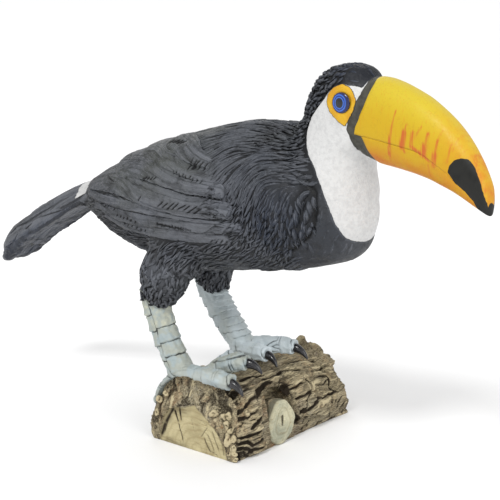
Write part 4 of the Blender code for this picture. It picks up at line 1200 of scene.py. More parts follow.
# --------------------------------------------------------------------- tufts
# Size of the carved tufts over the body seen from the side: x, z, then length,
# width and height, all in mm, spread in degrees, and lift of the tip in mm.
TUFTS = ((152, 343, 6, 3.4, 0.25, 12, 0.1), (141, 346, 6, 3.2, 0.9, 20, 0.5),
         (125, 341, 4.6, 3.2, 1.9, 52, 1.3), (112, 325, 4.6, 3.1, 1.9, 58, 1.4),
         (107, 300, 4.6, 3.0, 1.8, 58, 1.2), (98, 288, 6, 2.7, 1.8, 38, 1.2),
         (84, 285, 14, 2.6, 1.3, 24, 0.5), (104, 280, 9, 2.6, 1.5, 30, 0.7),
         (60, 283, 46, 2.9, 0.9, 5, 0.1), (30, 284, 46, 3.4, 0.8, 5, 0.1), (0, 273, 34, 3.6, 0.9, 7, 0.3),
         (-30, 264, 22, 4.6, 0.8, 10, 0.4), (18, 262, 32, 2.8, 1.2, 8, 0.3),
         (42, 270, 40, 2.9, 1.0, 5, 0.2), (62, 270, 46, 2.6, 1.0, 4, 0.1), (90, 270, 38, 2.8, 0.8, 6, 0.1),
         (97, 256, 30, 3.2, 0.6, 6, 0.1), (72, 255, 28, 2.4, 1.2, 8, 0.3), (62, 246, 18, 2.3, 1.5, 14, 0.6),
         (80, 243, 15, 2.4, 0.9, 12, 0.2), (50, 246, 16, 2.6, 1.5, 18, 0.8),
         (107, 248, 13, 3.4, 0.45, 10, 0.1), (92, 242, 14, 3.2, 0.4, 8, 0.1),
         (85, 228, 9, 2.6, 1.0, 20, 0.4), (118, 244, 10, 7.5, 1.2, 14, 1.1),
         (119, 230, 11, 8.0, 1.3, 14, 1.1), (114, 215, 11, 7.5, 1.2, 16, 0.9),
         (133, 238, 10, 4.6, 0.12, 14, 0.0), (133, 215, 10, 4.6, 0.12, 14, 0.0),
         (104, 230, 9, 4.0, 0.7, 20, 0.4), (98, 218, 10, 4.2, 1.0, 22, 0.6),
         (96, 206, 10, 4.0, 1.1, 22, 0.7), (62, 232, 10, 2.8, 1.5, 34, 1.8),
         (60, 205, 9, 2.6, 1.3, 32, 0.6), (76, 214, 9, 2.8, 1.2, 24, 0.6), (86, 196, 10, 3.4, 1.1, 22, 0.6),
         (112, 200, 12, 4.6, 0.12, 12, 0.0), (132, 225, 9, 4.2, 0.15, 14, 0.0),
         (130, 200, 10, 4.6, 0.12, 14, 0.0), (115, 175, 13, 4.6, 0.12, 12, 0.0),
         (62, 184, 11, 3.4, 0.9, 20, 0.4), (40, 165, 14, 4.6, 0.12, 12, 0.0),
         (25, 190, 12, 2.8, 1.3, 22, 0.6), (-20, 186, 12, 2.9, 1.3, 22, 0.6),
         (-60, 190, 10, 2.6, 1.2, 26, 0.7), (-90, 186, 10, 3.0, 1.1, 26, 0.7),
         (-130, 198, 12, 3.6, 0.8, 16, 0.4), (-38, 168, 14, 6.0, 0.5, 60, 0.4),
         (-52, 158, 8, 5.0, 1.3, 66, 0.9), (-30, 152, 9, 5.0, 1.1, 66, 0.8),
         (-45, 143, 6, 4.0, 1.9, 62, 1.1), (-170, 205, 14, 4.4, 0.5, 10, 0.3))
# The same over the roots of a wing's long feathers.
WING_TUFTS = ((60, 245, 9, 5.0, 0.9, 22, 0.5), (50, 235, 10, 6.0, 0.9, 16, 0.5),
              (56, 215, 9, 4.5, 0.9, 22, 0.5), (62, 205, 8, 3.6, 1.0, 30, 0.6),
              (34, 240, 11, 4.5, 0.6, 20, 0.3), (34, 210, 11, 3.4, 0.5, 20, 0.2))


def tuft_sizes(points, table=TUFTS):
    """Length, width, height, spread and lift of the tufts at each point."""
    table = np.array(table, float)
    mm = points / MM
    gap = (mm[:, None, 0] - table[None, :, 0]) ** 2 + (mm[:, None, 2] - table[None, :, 1]) ** 2
    weight = 1.0 / (gap + 12.0) ** 2
    weight /= weight.sum(axis=1, keepdims=True)
    return weight @ table[:, 2:]


ROOT_AREA = 0.0000011                # surface for each root that is tried, square metres


def scattered(mesh, chance, inside, pack, table=TUFTS):
    """Roots over a mesh where `inside` holds, apart by the local tuft's size."""
    mesh.calc_loop_triangles()
    corners = points_of(mesh)[whole_numbers(mesh.loop_triangles, "vertices", 3)].reshape(-1, 3, 3)
    corners = corners[inside(corners.mean(axis=1))]
    first, to_second, to_third = corners[:, 0], corners[:, 1] - corners[:, 0], corners[:, 2] - corners[:, 0]
    area = np.linalg.norm(np.cross(to_second, to_third), axis=1) / 2
    count = int(area.sum() / ROOT_AREA)
    pick = chance.choice(len(corners), count, p=area / area.sum())
    u, v = chance.random((2, count))
    flip = u + v > 1
    u[flip], v[flip] = 1 - u[flip], 1 - v[flip]
    points = first[pick] + u[:, None] * to_second[pick] + v[:, None] * to_third[pick]
    sizes = tuft_sizes(points, table)
    lie = lie_of_plumage(points)
    apart = np.maximum(sizes[:, 1] * 0.95, 1.2) / pack * MM
    stretch = np.clip(sizes[:, 0] / sizes[:, 1] * 0.42, 1.0, 4.5)
    cell = float(apart.max() * stretch.max())
    grid = {}
    roots = []
    keys = np.floor(points / cell).astype(int)
    for i in range(count):
        x, y, z = keys[i]
        near = []
        for dx in (-1, 0, 1):
            for dy in (-1, 0, 1):
                for dz in (-1, 0, 1):
                    near += grid.get((x + dx, y + dy, z + dz), ())
        if near:
            gap = points[near] - points[i]
            run = gap @ lie[i]
            off = (gap ** 2).sum(axis=1) - run ** 2
            if ((off + (run / stretch[i]) ** 2) < apart[i] ** 2).any():
                continue
        grid.setdefault((x, y, z), []).append(i)
        roots.append(i)
    # only a few strokes are left where they are low
    roots = [i for i in roots if chance.random() < max((sizes[i, 2] - 0.1) / 0.6, 0.22)]
    return points[roots], sizes[roots]


def painted_depth(points):
    """Depth in mm inside the nearest painted area, negative outside them all."""
    return np.maximum.reduce(list(markings(points).values()))


def tuft_piece(name, tree, roots, sizes, chance, stations):
    """One joined mesh of tapered, overlapping tufts traced along the lie from their roots."""
    count = len(roots)
    length, width, height, spread_by, lift = sizes.T * np.array([MM, MM, MM, 1, MM])[:, None]
    length = length * chance.uniform(0.75, 1.25, count)
    height = height * chance.uniform(0.7, 1.3, count)
    width = width * chance.uniform(0.7, 1.3, count)
    yaw = np.radians(spread_by) * chance.normal(0, 0.55, count)
    curl = np.radians(spread_by) * chance.normal(0, 0.5, count)
    long = np.clip((length / width - 5) / 6, 0, 1)
    # three tufts in four have their ridge on the outer side
    outward = np.where(chance.random(count) < 0.75, 1, -1) * np.sign(roots[:, 1] - BIRD_Y)
    lean = outward * chance.uniform(0.3, 0.8, count)
    spots, normals = on_surface(tree, roots)
    per_tuft = 4 * stations + 2
    verts = np.empty((count, per_tuft, 3))
    crest = np.empty((count, per_tuft))
    along = np.empty_like(crest)
    across = np.empty_like(crest)
    inside = np.zeros(count, bool)
    for k in range(stations):
        share = k / (stations - 1)
        inside |= painted_depth(spots) > -0.5 - 0.35 * width / MM
        way = lie_of_plumage(spots)
        way -= (way * normals).sum(axis=1, keepdims=True) * normals
        way /= np.maximum(np.linalg.norm(way, axis=1, keepdims=True), 1e-9)
        side = np.cross(normals, way)
        turn = yaw + curl * (share - 0.5)
        heading = way * np.cos(turn)[:, None] + side * np.sin(turn)[:, None]
        side = np.cross(normals, heading)
        oval = math.sin(math.pi * min(0.12 + share * 0.83, 1.0)) ** 0.6
        body = oval + (min(1.0, (share + 0.02) * 7, (1.03 - share) * 5) - oval) * long
        wide = width / 2 * body
        rise = height * (0.15 + 0.85 * math.sin(math.pi * min(0.08 + 0.80 * share, 1)) ** 0.7)
        tip = lift * share ** 2
        centre = spots + normals * tip[:, None]
        ring = verts[:, 4 * k:4 * k + 4]
        ring[:, 0] = centre - side * wide[:, None] - normals * (0.00025 - 0.1 * tip)[:, None]
        ring[:, 1] = centre + normals * rise[:, None] + side * (lean * wide)[:, None]
        ring[:, 2] = centre + side * wide[:, None] - normals * (0.00025 - 0.1 * tip)[:, None]
        ring[:, 3] = centre - normals * 0.0006 * (1 - 0.6 * share)
        # the crest value paints each tuft, varied along its length: painted shade down its sides, a painted
        # highlight along its ridge
        bright = 0.55 + 0.45 * math.sin(math.pi * min(share + 0.15, 1))
        crest[:, 4 * k:4 * k + 4] = np.array([0.18, 0.95, 0.18, 0.0]) * bright
        along[:, 4 * k:4 * k + 4] = (length / MM * share)[:, None]
        across[:, 4 * k:4 * k + 4] = (width * body / MM)[:, None] * np.array([-0.5, 0, 0.5, 0])
        if k == 0:
            verts[:, -2] = spots - heading * (width * 0.35)[:, None] - normals * 0.0004
        if k == stations - 1:
            verts[:, -1] = (spots + heading * (width * 0.45)[:, None]
                            + normals * (tip * 0.9 + 0.0001)[:, None])
        else:
            spots, normals = on_surface(tree, spots + heading * (length / (stations - 1))[:, None])
    # low tufts get less painted shade and hold less of the wash
    soft = smooth_step(1.1, 0.2, sizes[:, 2])[:, None]
    crest += soft * (0.58 - crest) * 0.6
    crest[:, -2:] = 0.15 + 0.45 * soft
    broad = smooth_step(3.4, 5.5, sizes[:, 1])[:, None]
    crest += broad * 0.22 * (crest < 0.5)
    # tall tufts get deeper painted shade
    tall = smooth_step(1.3, 2.2, sizes[:, 2])[:, None]
    crest -= tall * 0.22 * (crest < 0.5)
    along[:, -2] = 0
    along[:, -1] = length / MM
    across[:, -2:] = 0
    keep = ~inside
    verts, crest, along, across, roots = (item[keep] for item in (verts, crest, along, across, roots))
    count = len(verts)
    seeds = chance.uniform(0, 500, count)[:, None]
    ring = np.arange(4)
    quads = np.concatenate([np.stack([4 * k + ring, 4 * k + (ring + 1) % 4, 4 * k + 4 + (ring + 1) % 4,
                                      4 * k + 4 + ring], axis=1) for k in range(stations - 1)])
    last = 4 * (stations - 1)
    ends = np.concatenate([np.stack([(ring + 1) % 4, ring, np.full(4, per_tuft - 2)], axis=1),
                           np.stack([last + ring, last + (ring + 1) % 4, np.full(4, per_tuft - 1)],
                                    axis=1)])
    shift = np.arange(count)[:, None, None] * per_tuft
    faces = [row for block in ((quads[None] + shift).reshape(-1, 4).tolist(),
                               (ends[None] + shift).reshape(-1, 3).tolist()) for row in block]
    mesh = bpy.data.meshes.new(name)
    mesh.from_pydata(verts.reshape(-1, 3).tolist(), [], faces)
    mesh.update()
    piece = add_object(name, mesh)
    put_values(mesh, crest=crest.ravel(), along=(along + seeds).ravel(), across=(across + seeds).ravel())
    put_markings(mesh)
    # each tuft is a small patch of the map, at its root's place
    corners = whole_numbers(mesh.loops, "vertex_index")
    owner = corners // per_tuft
    patch = map_place(unwrap(roots))[owner]
    local = np.stack([across.ravel()[corners] * MM / 2.4,
                      (along.ravel()[corners] / 20 - 0.25) * 0.003], axis=1)
    layer = mesh.uv_layers.new(name="OFBake")
    layer.uv.foreach_set("vector", (patch + np.clip(local, -0.0015, 0.0015)).astype(np.float32).ravel())
    return piece


class TOUCAN_OT_coat(bpy.types.Operator):
    """Small carved tufts over head, back, breast, belly and thighs"""
    bl_idname = "toucan.coat"
    bl_label = "Small tufts"

    def execute(self, context):
        mesh = SKIN["item"].data
        covers = [tree_of(bpy.data.objects[name])
                  for name in ("wing_feathers_left", "wing_feathers_right", "tail_feathers")]

        def dark(points):
            return painted_depth(points) < -0.5

        def head(points):
            view = straightened(points)
            return dark(points) & (view[:, 2] + 0.5 * view[:, 0] > 282)

        def thigh(points):
            return (points[:, 2] < 0.1745) & (points[:, 0] < -0.004) & (points[:, 0] > -0.095) \
                & (np.abs(points[:, 1] - BIRD_Y) > 0.008)

        def roots_zone(points):
            ragged = 0.006 * layered(points, 0.012, 77, 2)
            return (points[:, 0] + ragged > 0.030) & (points[:, 0] < 0.066) & (points[:, 2] < 0.262)

        def back(points):
            return dark(points) & ~head(points) & ~thigh(points) & (points[:, 0] > -0.17) \
                & (points[:, 2] > 0.248 + 0.15 * (points[:, 0] - 0.06))

        def breast(points):
            return dark(points) & ~head(points) & ~thigh(points) & ~back(points) & (points[:, 0] > -0.165)

        for side, label in ((1, "left"), (-1, "right")):
            wing = bpy.data.objects["wing_feathers_" + label]
            chance = np.random.default_rng(7 + side)
            roots, sizes = scattered(wing.data, chance, roots_zone, 1.0, WING_TUFTS)
            spots, normals = on_surface(SKIN["tree"], roots)
            high = ((roots - spots) * normals).sum(axis=1) > 0.0007
            piece = tuft_piece("coat_wing_" + label, tree_of(wing), roots[high], sizes[high], chance, 5)
            finished(piece, SKIN["paint"], "plumage_paint")
        for name, inside, pack, seed, stations in (
                ("coat_head", head, 0.98, 1, 5), ("coat_back", back, 1.25, 2, 13),
                ("coat_breast", breast, 1.05, 3, 5), ("coat_thighs", thigh, 1.05, 4, 5)):
            chance = np.random.default_rng(seed)
            roots, sizes = scattered(mesh, chance, inside, pack)
            spots, normals = on_surface(SKIN["tree"], roots)
            bare = np.ones(len(roots), bool)
            for cover in covers:
                for i, (spot, normal) in enumerate(zip(spots, normals)):
                    if bare[i]:
                        hit = cover.ray_cast(Vector(spot + normal * 0.006), Vector(-normal), 0.0062)
                        bare[i] = hit[0] is None
            piece = tuft_piece(name, SKIN["tree"], roots[bare], sizes[bare], chance, stations)
            finished(piece, SKIN["paint"], "plumage_paint")
        return {"FINISHED"}


# ---------------------------------------------------------------------- bill
# Forward of the pivot, ridge, keel and half width, in mm; its tip; and the line where it shuts.
BILL = ((45, 340.5, 274.5, 20), (59, 341.5, 274, 20.5), (75, 340.8, 272.5, 20), (95, 335.5, 270.5, 19),
        (115, 327.5, 267.5, 17.5), (134, 316.5, 262.5, 15.5), (151, 302, 256.5, 13),
        (164, 287, 250.5, 10.2), (173, 272.5, 246.5, 7.5), (177, 260, 245, 4.5))
BILL_TIP = (177.3, 246.0)
MOUTH = ((45, 297), (53.5, 296.5), (81, 293.5), (95, 291.7), (115, 289), (124, 286), (132, 281.5),
         (144, 275), (151.5, 268.5), (160.5, 262.5), (166, 257), (170, 250.5), (173, 243), (178, 232))
# Streaks of darker paint: two ends, forward and up, then half width and strength.
STREAKS = ((96.5, 318, 94, 306, 0.9, 0.7), (94, 306, 91.5, 294, 1.6, 0.9), (91.5, 294, 90, 283, 2.0, 0.8),
           (90, 283, 89, 276, 1.6, 0.5), (108, 309, 104.5, 300, 1.3, 0.6),
           (105.5, 302, 103.5, 292, 3.0, 1.0), (104, 292, 106, 287, 1.3, 0.7),
           (105, 325, 100, 312, 0.6, 0.35), (114, 303, 112.5, 292, 2.2, 0.8),
           (112.5, 292, 121, 288, 1.7, 1.0), (121, 308, 115, 298, 1.2, 0.5),
           (127.5, 303, 125, 293, 1.8, 0.8), (125, 294, 123.5, 287, 2.8, 1.0),
           (138, 306, 136, 299, 1.3, 0.4), (136, 299, 134, 288, 1.6, 0.7), (134, 288, 132.5, 280, 2.8, 0.9),
           (122, 287.5, 134, 279.5, 1.4, 0.8), (147, 297, 145, 283, 1.3, 0.5),
           (150, 303, 149, 292, 1.1, 0.4), (128, 280, 128, 271, 1.0, 0.6), (152, 284, 157, 293, 1.3, 0.35),
           (62, 282, 90, 274, 4.5, 0.55), (90, 274, 140, 263, 2.6, 0.5), (162, 290, 176, 262, 1.6, 0.45))
# Outline of the black patch, forward and up.
PATCH = ((145.5, 276), (146.8, 281), (150.5, 285.2), (155.5, 287.4), (160.3, 287.0), (164.3, 283.2),
         (168.4, 276.6), (171.9, 269.3), (174.4, 262.2), (175.8, 256.5), (176.9, 251.5), (190, 250),
         (190, 236), (172, 236), (166.5, 256), (160, 262.7), (151.3, 268.5))


def rows_at(table, x):
    """A table read along its first column on a smooth curve through its rows."""
    rows = np.array(table, float)
    padded = np.vstack([2 * rows[0] - rows[1], rows, 2 * rows[-1] - rows[-2]])
    dense = []
    for a, b, c, d in zip(padded, padded[1:], padded[2:], padded[3:]):
        for t in np.linspace(0, 1, 12, endpoint=False):
            dense.append(0.5 * (2 * b + (c - a) * t + (2 * a - 5 * b + 4 * c - d) * t * t
                                + (3 * b - a - 3 * c + d) * t ** 3))
    dense = np.array(dense + [rows[-1]])
    return [np.interp(x, dense[:, 0], dense[:, k]) for k in range(1, rows.shape[1])]


def bill_section(forward):
    """Ridge, keel and half width at each place, closing to a blunt tip."""
    ridge, keel, width = rows_at(BILL, np.minimum(forward, 177.0))
    close = np.clip((forward - 174.0) / (BILL_TIP[0] - 174.0), 0, 1)
    shut = np.sqrt(np.maximum(1 - close ** 2, 0.0))
    ridge = BILL_TIP[1] + (ridge - BILL_TIP[1]) * (0.15 + 0.85 * shut)
    keel = BILL_TIP[1] + (keel - BILL_TIP[1]) * shut
    return ridge, keel, width * (0.08 + 0.92 * shut)


def mandible(upper):
    """One half of the bill as a closed shell, its rear edge cut back at the gape."""
    rings, outer, inner = 150, 84, 14
    power = 2.4                      # an ellipse is 2, and more is squarer
    back = np.array(UPPER_BACK if upper else LOWER_BACK, float)
    back = back[np.argsort(back[:, 1])]
    end = BILL_TIP[0] if upper else 170.2
    places = np.empty((rings, outer + inner, 3))
    for i in range(rings):
        q = i / (rings - 1)
        forward = np.full(outer + inner, 60.0 + (end - 60.0) * q)
        for _ in range(4):
            ridge, keel, width = bill_section(forward)
            mouth = np.interp(forward, *zip(*MOUTH))
            mouth = np.clip(mouth, keel + 0.02, ridge - 0.02)
            middle = (ridge + keel) / 2
            half = np.maximum((ridge - keel) / 2, 0.01)
            level = np.clip((mouth - middle) / half, -1, 1)
            lip = np.arcsin(np.sign(level) * np.abs(level) ** (power / 2))
            share = np.concatenate([np.linspace(0, 1, outer), np.zeros(inner)])
            low, high = (lip, math.pi - lip) if upper else (math.pi - lip, 2 * math.pi + lip)
            angle = low + (high - low) * share
            side = np.sign(np.cos(angle)) * np.abs(np.cos(angle)) ** (2 / power)
            up = np.sign(np.sin(angle)) * np.abs(np.sin(angle)) ** (2 / power)
            y = side * width
            z = middle + up * half
            across = np.linspace(1, -1, inner + 2)[1:-1] * (-1 if upper else 1)
            lip_width = np.abs(np.cos(lip[0])) ** (2 / power) * width[0]
            y[outer:] = across * lip_width * 0.96
            vault = (1 - across ** 2) * (1.6 if upper else -1.2)
            z[outer:] = mouth[outer:] + vault
            start = np.interp(z, back[:, 1], back[:, 0])
            forward = start + (end - start) * q
        # the lips turn in a little along the mouth
        near = np.exp(-((z - mouth) / 0.7) ** 2)
        y = y * (1 - 0.004 * near)
        z = z + (0.02 if upper else -0.02) * (0.5 + near)
        tuck = 1.0 - 0.035 * math.exp(-(q / 0.012) ** 2)
        places[i] = turned(np.stack([forward, y * tuck, z], axis=1))
    return wrapped_grid(places)


def bill_values(mesh):
    """Paint coordinates on the bill: height share, reach, patch and streaks."""
    points = points_of(mesh)
    reach = (points[:, 0] - PIVOT_X) * math.cos(HEAD_TURN) + (points[:, 1] - BIRD_Y) * math.sin(HEAD_TURN)
    reach, z = reach / MM, points[:, 2] / MM
    flat = np.stack([reach, z], axis=1)
    ridge, keel = bill_section(reach)[:2]
    streak = np.zeros(len(flat))
    for ax, az, bx, bz, half, strength in STREAKS:
        gap = edge_distance(flat, ((ax, az), (bx, bz)))[0]
        streak = np.maximum(streak, strength * np.exp(-(gap / half) ** 2))
    put_values(mesh, height=(z - keel) / np.maximum(ridge - keel, 1.0), reach=reach,
               patch=depth_inside(flat, PATCH), streak=streak, lip=z - np.interp(reach, *zip(*MOUTH)))


class TOUCAN_OT_bill(bpy.types.Operator):
    """Upper and lower halves of the bill"""
    bl_idname = "toucan.bill"
    bl_label = "Bill"

    def execute(self, context):
        material = bill_material(context.scene.toucan_colours)
        for name, upper in (("bill_upper", True), ("bill_lower", False)):
            half = joined(name + "_painted", [mandible(upper)])
            points = points_of(half.data)
            normals = normals_of(half.data)
            dents = 0.00022 * layered(points, (0.011, 0.011, 0.022), 21, 2)
            put_points(half.data, points + normals * dents[:, None])
            bill_values(half.data)
            finished(half, material, "bill_paint", name)
        return {"FINISHED"}


# ---------------------------------------------------------------------- eyes
class TOUCAN_OT_eyes(bpy.types.Operator):
    """Domed eyes with a low pupil and a rolled rim"""
    bl_idname = "toucan.eyes"
    bl_label = "Eyes"

    def execute(self, context):
        material = eye_material(context.scene.toucan_colours)
        # radius and height of the dome from its middle out, in mm
        table = ((0.0, 3.1), (1.2, 3.05), (2.3, 2.85), (2.9, 2.60), (3.2, 2.62), (4.2, 2.40), (4.6, 2.25),
                 (5.6, 2.10), (6.4, 1.85), (6.9, 1.85), (7.6, 1.55), (8.15, 0.9), (8.3, 0.0), (7.6, -1.0),
                 (4.0, -2.0), (0.0, -2.2))
        steps = np.linspace(0, len(table) - 1, 61)
        radius, rise = (np.interp(steps, range(len(table)), column)[:, None] for column in zip(*table))
        turn = np.linspace(0, 2 * math.pi, 48, endpoint=False)
        x = radius * np.cos(turn)
        z = radius * np.sin(turn)
        out = np.repeat(0.62 * rise, len(turn), axis=1)
        lean = math.radians(9)
        for side, label in ((1, "left"), (-1, "right")):
            forward = EYE[0] + x * math.cos(lean) + out * math.sin(lean)
            across = side * (EYE[1] + 0.3 + out * math.cos(lean) - x * math.sin(lean))
            places = turned(np.stack([forward, across, EYE[2] + z], axis=-1))
            eye = joined("eye_" + label + "_painted", [wrapped_grid(places)])
            head = straightened(points_of(eye.data))
            # the rings are a little taller than wide
            ring = np.hypot(head[:, 0] - EYE[0] + 0.5, (head[:, 2] - EYE[2]) / 1.12) / 8.3
            put_values(eye.data, ring=ring)
            finished(eye, material, "eye_paint", "eye_" + label)
        return {"FINISHED"}


# ---------------------------------------------------------------------- legs
# Middle line of each lower leg from the thigh down, x and z in mm.
LEG_LINES = {
    "left": ((-57, 140), (-52, 127), (-39.5, 108), (-27, 93), (-16, 81)),
    "right": ((-57, 140), (-53.5, 127), (-44, 102), (-33, 83), (-23, 69)),
}
LEG_OUT = 37                         # how far each leg stands from the bird's middle plane, mm
# Joints between the plates in front of the seam and behind it, as heights in mm.
LEG_JOINTS = {"left": (104, 89), "right": (105.0, 92.5, 80.7, 67.5)}
LEG_BACK = {"left": (121, 112.5, 103, 94.5, 86), "right": (117, 103, 90.5, 77.5)}
CLAW_NAMES = ("outer_front", "inner_front", "outer_back", "inner_back")


def leg_relief(points, label, claws):
    """Height of the scutes in mm, how dark their joints are, distance to a claw, and 1 on the foot."""
    mm = points / MM
    near_leg = label == "right"
    out = (mm[:, 1] - BIRD_Y / MM) * (-1 if near_leg else 1) - LEG_OUT
    line = np.array(LEG_LINES[label], float)
    x, z = mm[:, 0], mm[:, 2]
    behind = np.interp(-z, -line[:, 1], line[:, 0]) - x
    joint_z = z + 0.30 * behind + 1.1 * layered(points, 0.0055, 31, 3)
    # each plate is proud over its joint; those behind the seam are staggered against the front ones
    plates = []
    for joints, strength, rise, run in ((LEG_JOINTS[label], 1.0 if near_leg else 0.55, 0.7, 4.0),
                                        (LEG_BACK[label], 1.0, 0.9, 3.0)):
        over = joint_z[:, None] - np.array(joints)
        dark = strength * np.exp(-(np.abs(over).min(axis=1) / 0.55) ** 2)
        above = np.where(over > 0, over, 99).min(axis=1)
        plates.append((strength * rise * np.exp(-above / run) - 0.9 * dark, dark))
    (relief, dark), (back_relief, back_dark) = plates
    seam_at = np.interp(z, (70, 77, 105, 130), (3.0, 2.7, -2.0, -1.0)) if near_leg else 7.0
    past = smooth_step(-0.5, 0.5, behind - seam_at)
    seam = np.exp(-((behind - seam_at) / 0.55) ** 2) * (np.abs(out) > 4) * (1.0 if near_leg else 0.3)
    seam *= 0.55 + 0.45 * smooth_step(-0.3, 0.2, noise(points, 0.006, 36))
    relief = relief * (1 - past) + back_relief * past - 0.8 * seam
    dark = np.maximum(dark * (1 - past) + back_dark * past, seam)
    if not near_leg:
        # small toothed plates down the front of the far leg
        front = smooth_step(3.5, 6.5, -behind + 0.3 * noise(points, 0.006, 37))
        tooth = (joint_z + 1.5 * noise(points, 0.012, 38)) % 5.2
        tooth_gap = np.minimum(tooth, 5.2 - tooth)
        relief = relief * (1 - front) + (1.1 * (1 - tooth / 5.2) - 0.3) * front
        dark = np.maximum(dark * (1 - front), 0.6 * front * np.exp(-(tooth_gap / 0.5) ** 2))
    # toes: rings counted back from each claw
    foot = smooth_step(3, -3, z - line[-1, 1] - 0.30 * np.abs(x - line[-1, 0]))
    nearest = np.min([np.linalg.norm(mm - root, axis=1) for root in claws], axis=0)
    count = nearest + 0.6 * noise(points, 0.006, 33)
    rings = np.array((7.0, 17.5, 20.0, 33.0, 42.5))
    ring_gap = np.abs(count[:, None] - rings).min(axis=1)
    ring_dark = 0.85 * np.exp(-(ring_gap / 0.5) ** 2)
    inner = np.where(count[:, None] < rings, rings - count[:, None], 99).min(axis=1)
    toe = 0.5 * np.exp(-inner / 3.0) - 0.8 * ring_dark + 0.5 * np.exp(-((nearest - 5.0) / 1.4) ** 2)
    relief = relief * (1 - foot) + toe * foot + 0.60 * layered(points, 0.0052, 35, 3)
    dark = dark * (1 - foot) + ring_dark * foot
    return relief, dark, nearest, foot


class TOUCAN_OT_legs(bpy.types.Operator):
    """Scaly lower legs and feet"""
    bl_idname = "toucan.legs"
    bl_label = "Legs"

    def execute(self, context):
        material = leg_material(context.scene.toucan_colours)
        for label in ("left", "right"):
            claws = []
            for name in CLAW_NAMES:
                bm = node_copy("claw_" + label + "_" + name)
                points = np.array([vert.co for vert in bm.verts])
                bm.free()
                claws.append(points[np.argsort(-points[:, 2])[:6]].mean(axis=0) / MM)
            nodes = ("shank_" + label, "foot_" + label)
            leg = joined("leg_" + label, [node_copy(node, 0.0003) for node in nodes])
            remeshed(leg, context.scene.toucan_sizes.leg_voxel)
            relaxed(leg.data, 6)
            points = points_of(leg.data)
            normals = normals_of(leg.data)
            relief, dark, nearest, foot = leg_relief(points, label, claws)
            put_points(leg.data, points + normals * (1.8 * relief * MM)[:, None])
            relaxed(leg.data, 1)
            far = 1.0 if label == "left" else 0.0
            z = points[:, 2]
            # painted shade high on the leg under the thigh and low down by the toes, varied by noise, and a
            # little less on the far leg
            shade = 0.3 * smooth_step(0.118, 0.135, z) + 0.4 * smooth_step(0.072, 0.060, z)
            shade += 0.25 * noise(points, 0.01, 41) - 0.1 * far
            # the far leg is painted paler and cooler to stand in for light where it lies in shade; the foot
            # and noise vary it a little
            cool = 0.75 * far + 0.15 * foot + 0.3 * noise(points, 0.012, 42)
            cream = 0.35 * smooth_step(0.098, 0.110, z) * (1 - far)
            cream += 0.12 * np.exp(-((nearest - 4.0) / 2.0) ** 2) * foot
            put_values(leg.data, crest=0.68 + 0.26 * relief - (0.50 + 0.25 * noise(points, 0.007, 39)) * dark,
                       shade=np.clip(shade, 0, 1), cool=np.clip(cool, 0, 1), cream=np.clip(cream, 0, 1))
            finished(leg, material, "leg_paint", *nodes)
        return {"FINISHED"}


class TOUCAN_OT_claws(bpy.types.Operator):
    """Hooked claws"""
    bl_idname = "toucan.claws"
    bl_label = "Claws"

    def execute(self, context):
        material = claw_material(context.scene.toucan_colours)
        for label in ("left", "right"):
            for name in CLAW_NAMES:
                node = "claw_" + label + "_" + name
                claw = joined(node + "_enamel", [node_copy(node, 0.0003)])
                modifier = claw.modifiers.new("round", "SUBSURF")
                modifier.levels = modifier.render_levels = 2
                baked(claw)
                finished(claw, material, "claw_paint", node)
        return {"FINISHED"}


# ----------------------------------------------------------------------- log
LOG_HALF_LENGTH = 86.0                    # mm
KNOT = (52.5, -22.0, 21.0, 18.5, 21.5)    # face x, middle y and z, half width, half height, mm
# Small curls of bark round the sawn end: x, z, y and radius in mm, and how tall for their width.
BEADS = ((26, 41, -86, 3.9, 1.0), (36, 38.5, -86, 3.9, 1.0), (31, 44, -84, 3.0, 0.9),
         (41, 33, -86.5, 2.8, 1.2), (45, 29, -85, 2.6, 1.0), (43, 20, -86.5, 3.4, 2.0),
         (48.5, 22, -85.5, 2.4, 1.3), (49, 14, -86, 2.6, 1.2), (43.5, 7.5, -86.5, 2.8, 1.1),
         (49.5, 8, -86, 2.4, 0.9), (50.5, 3, -85, 2.4, 0.9), (45, 3.2, -86.5, 2.2, 0.8),
         (39, 40, -82, 3.0, 1.0), (-44, 26, -86, 2.8, 1.3), (-42, 38, -85, 3.0, 1.0),
         (-34, 46, -84, 2.8, 1.0))
# The sawn face's outline seen from the front, x and z in mm; crumbling bark is round it.
SAWN_FACE = ((-42, -3), (-41, 8), (-38, 20), (-29, 33), (-20, 37), (-8, 39), (2, 43), (9, 38), (18, 33),
             (27, 26), (35, 16), (40, 6), (41, -3))
# Cracks in it: two ends in mm, half width and darkness.
CRACKS = ((-22, 33, -18, 22, 0.75, 1.0), (-18, 22, -12, 5, 0.6, 0.9), (-16, 36, -14, 24, 0.7, 0.9),
          (-23, 35, -34, 18, 1.3, 0.5), (-34, 18, -39, 5, 1.3, 0.5), (-28, 28, -36, 8, 0.8, 0.4),
          (18, 26, 9, 14, 0.5, 0.6), (7, 31, 18, 27, 0.5, 0.45), (23, 31, 34, 16, 0.8, 0.6),
          (34, 16, 37, 3, 0.8, 0.6), (13, 15, 21, 2, 0.8, 0.7), (17, 20, 26, 4, 0.7, 0.6),
          (22, 24, 31, 6, 0.7, 0.6), (21, 4, 30, 1, 0.6, 0.6), (-2, 30, 1, 18, 0.5, 0.35))
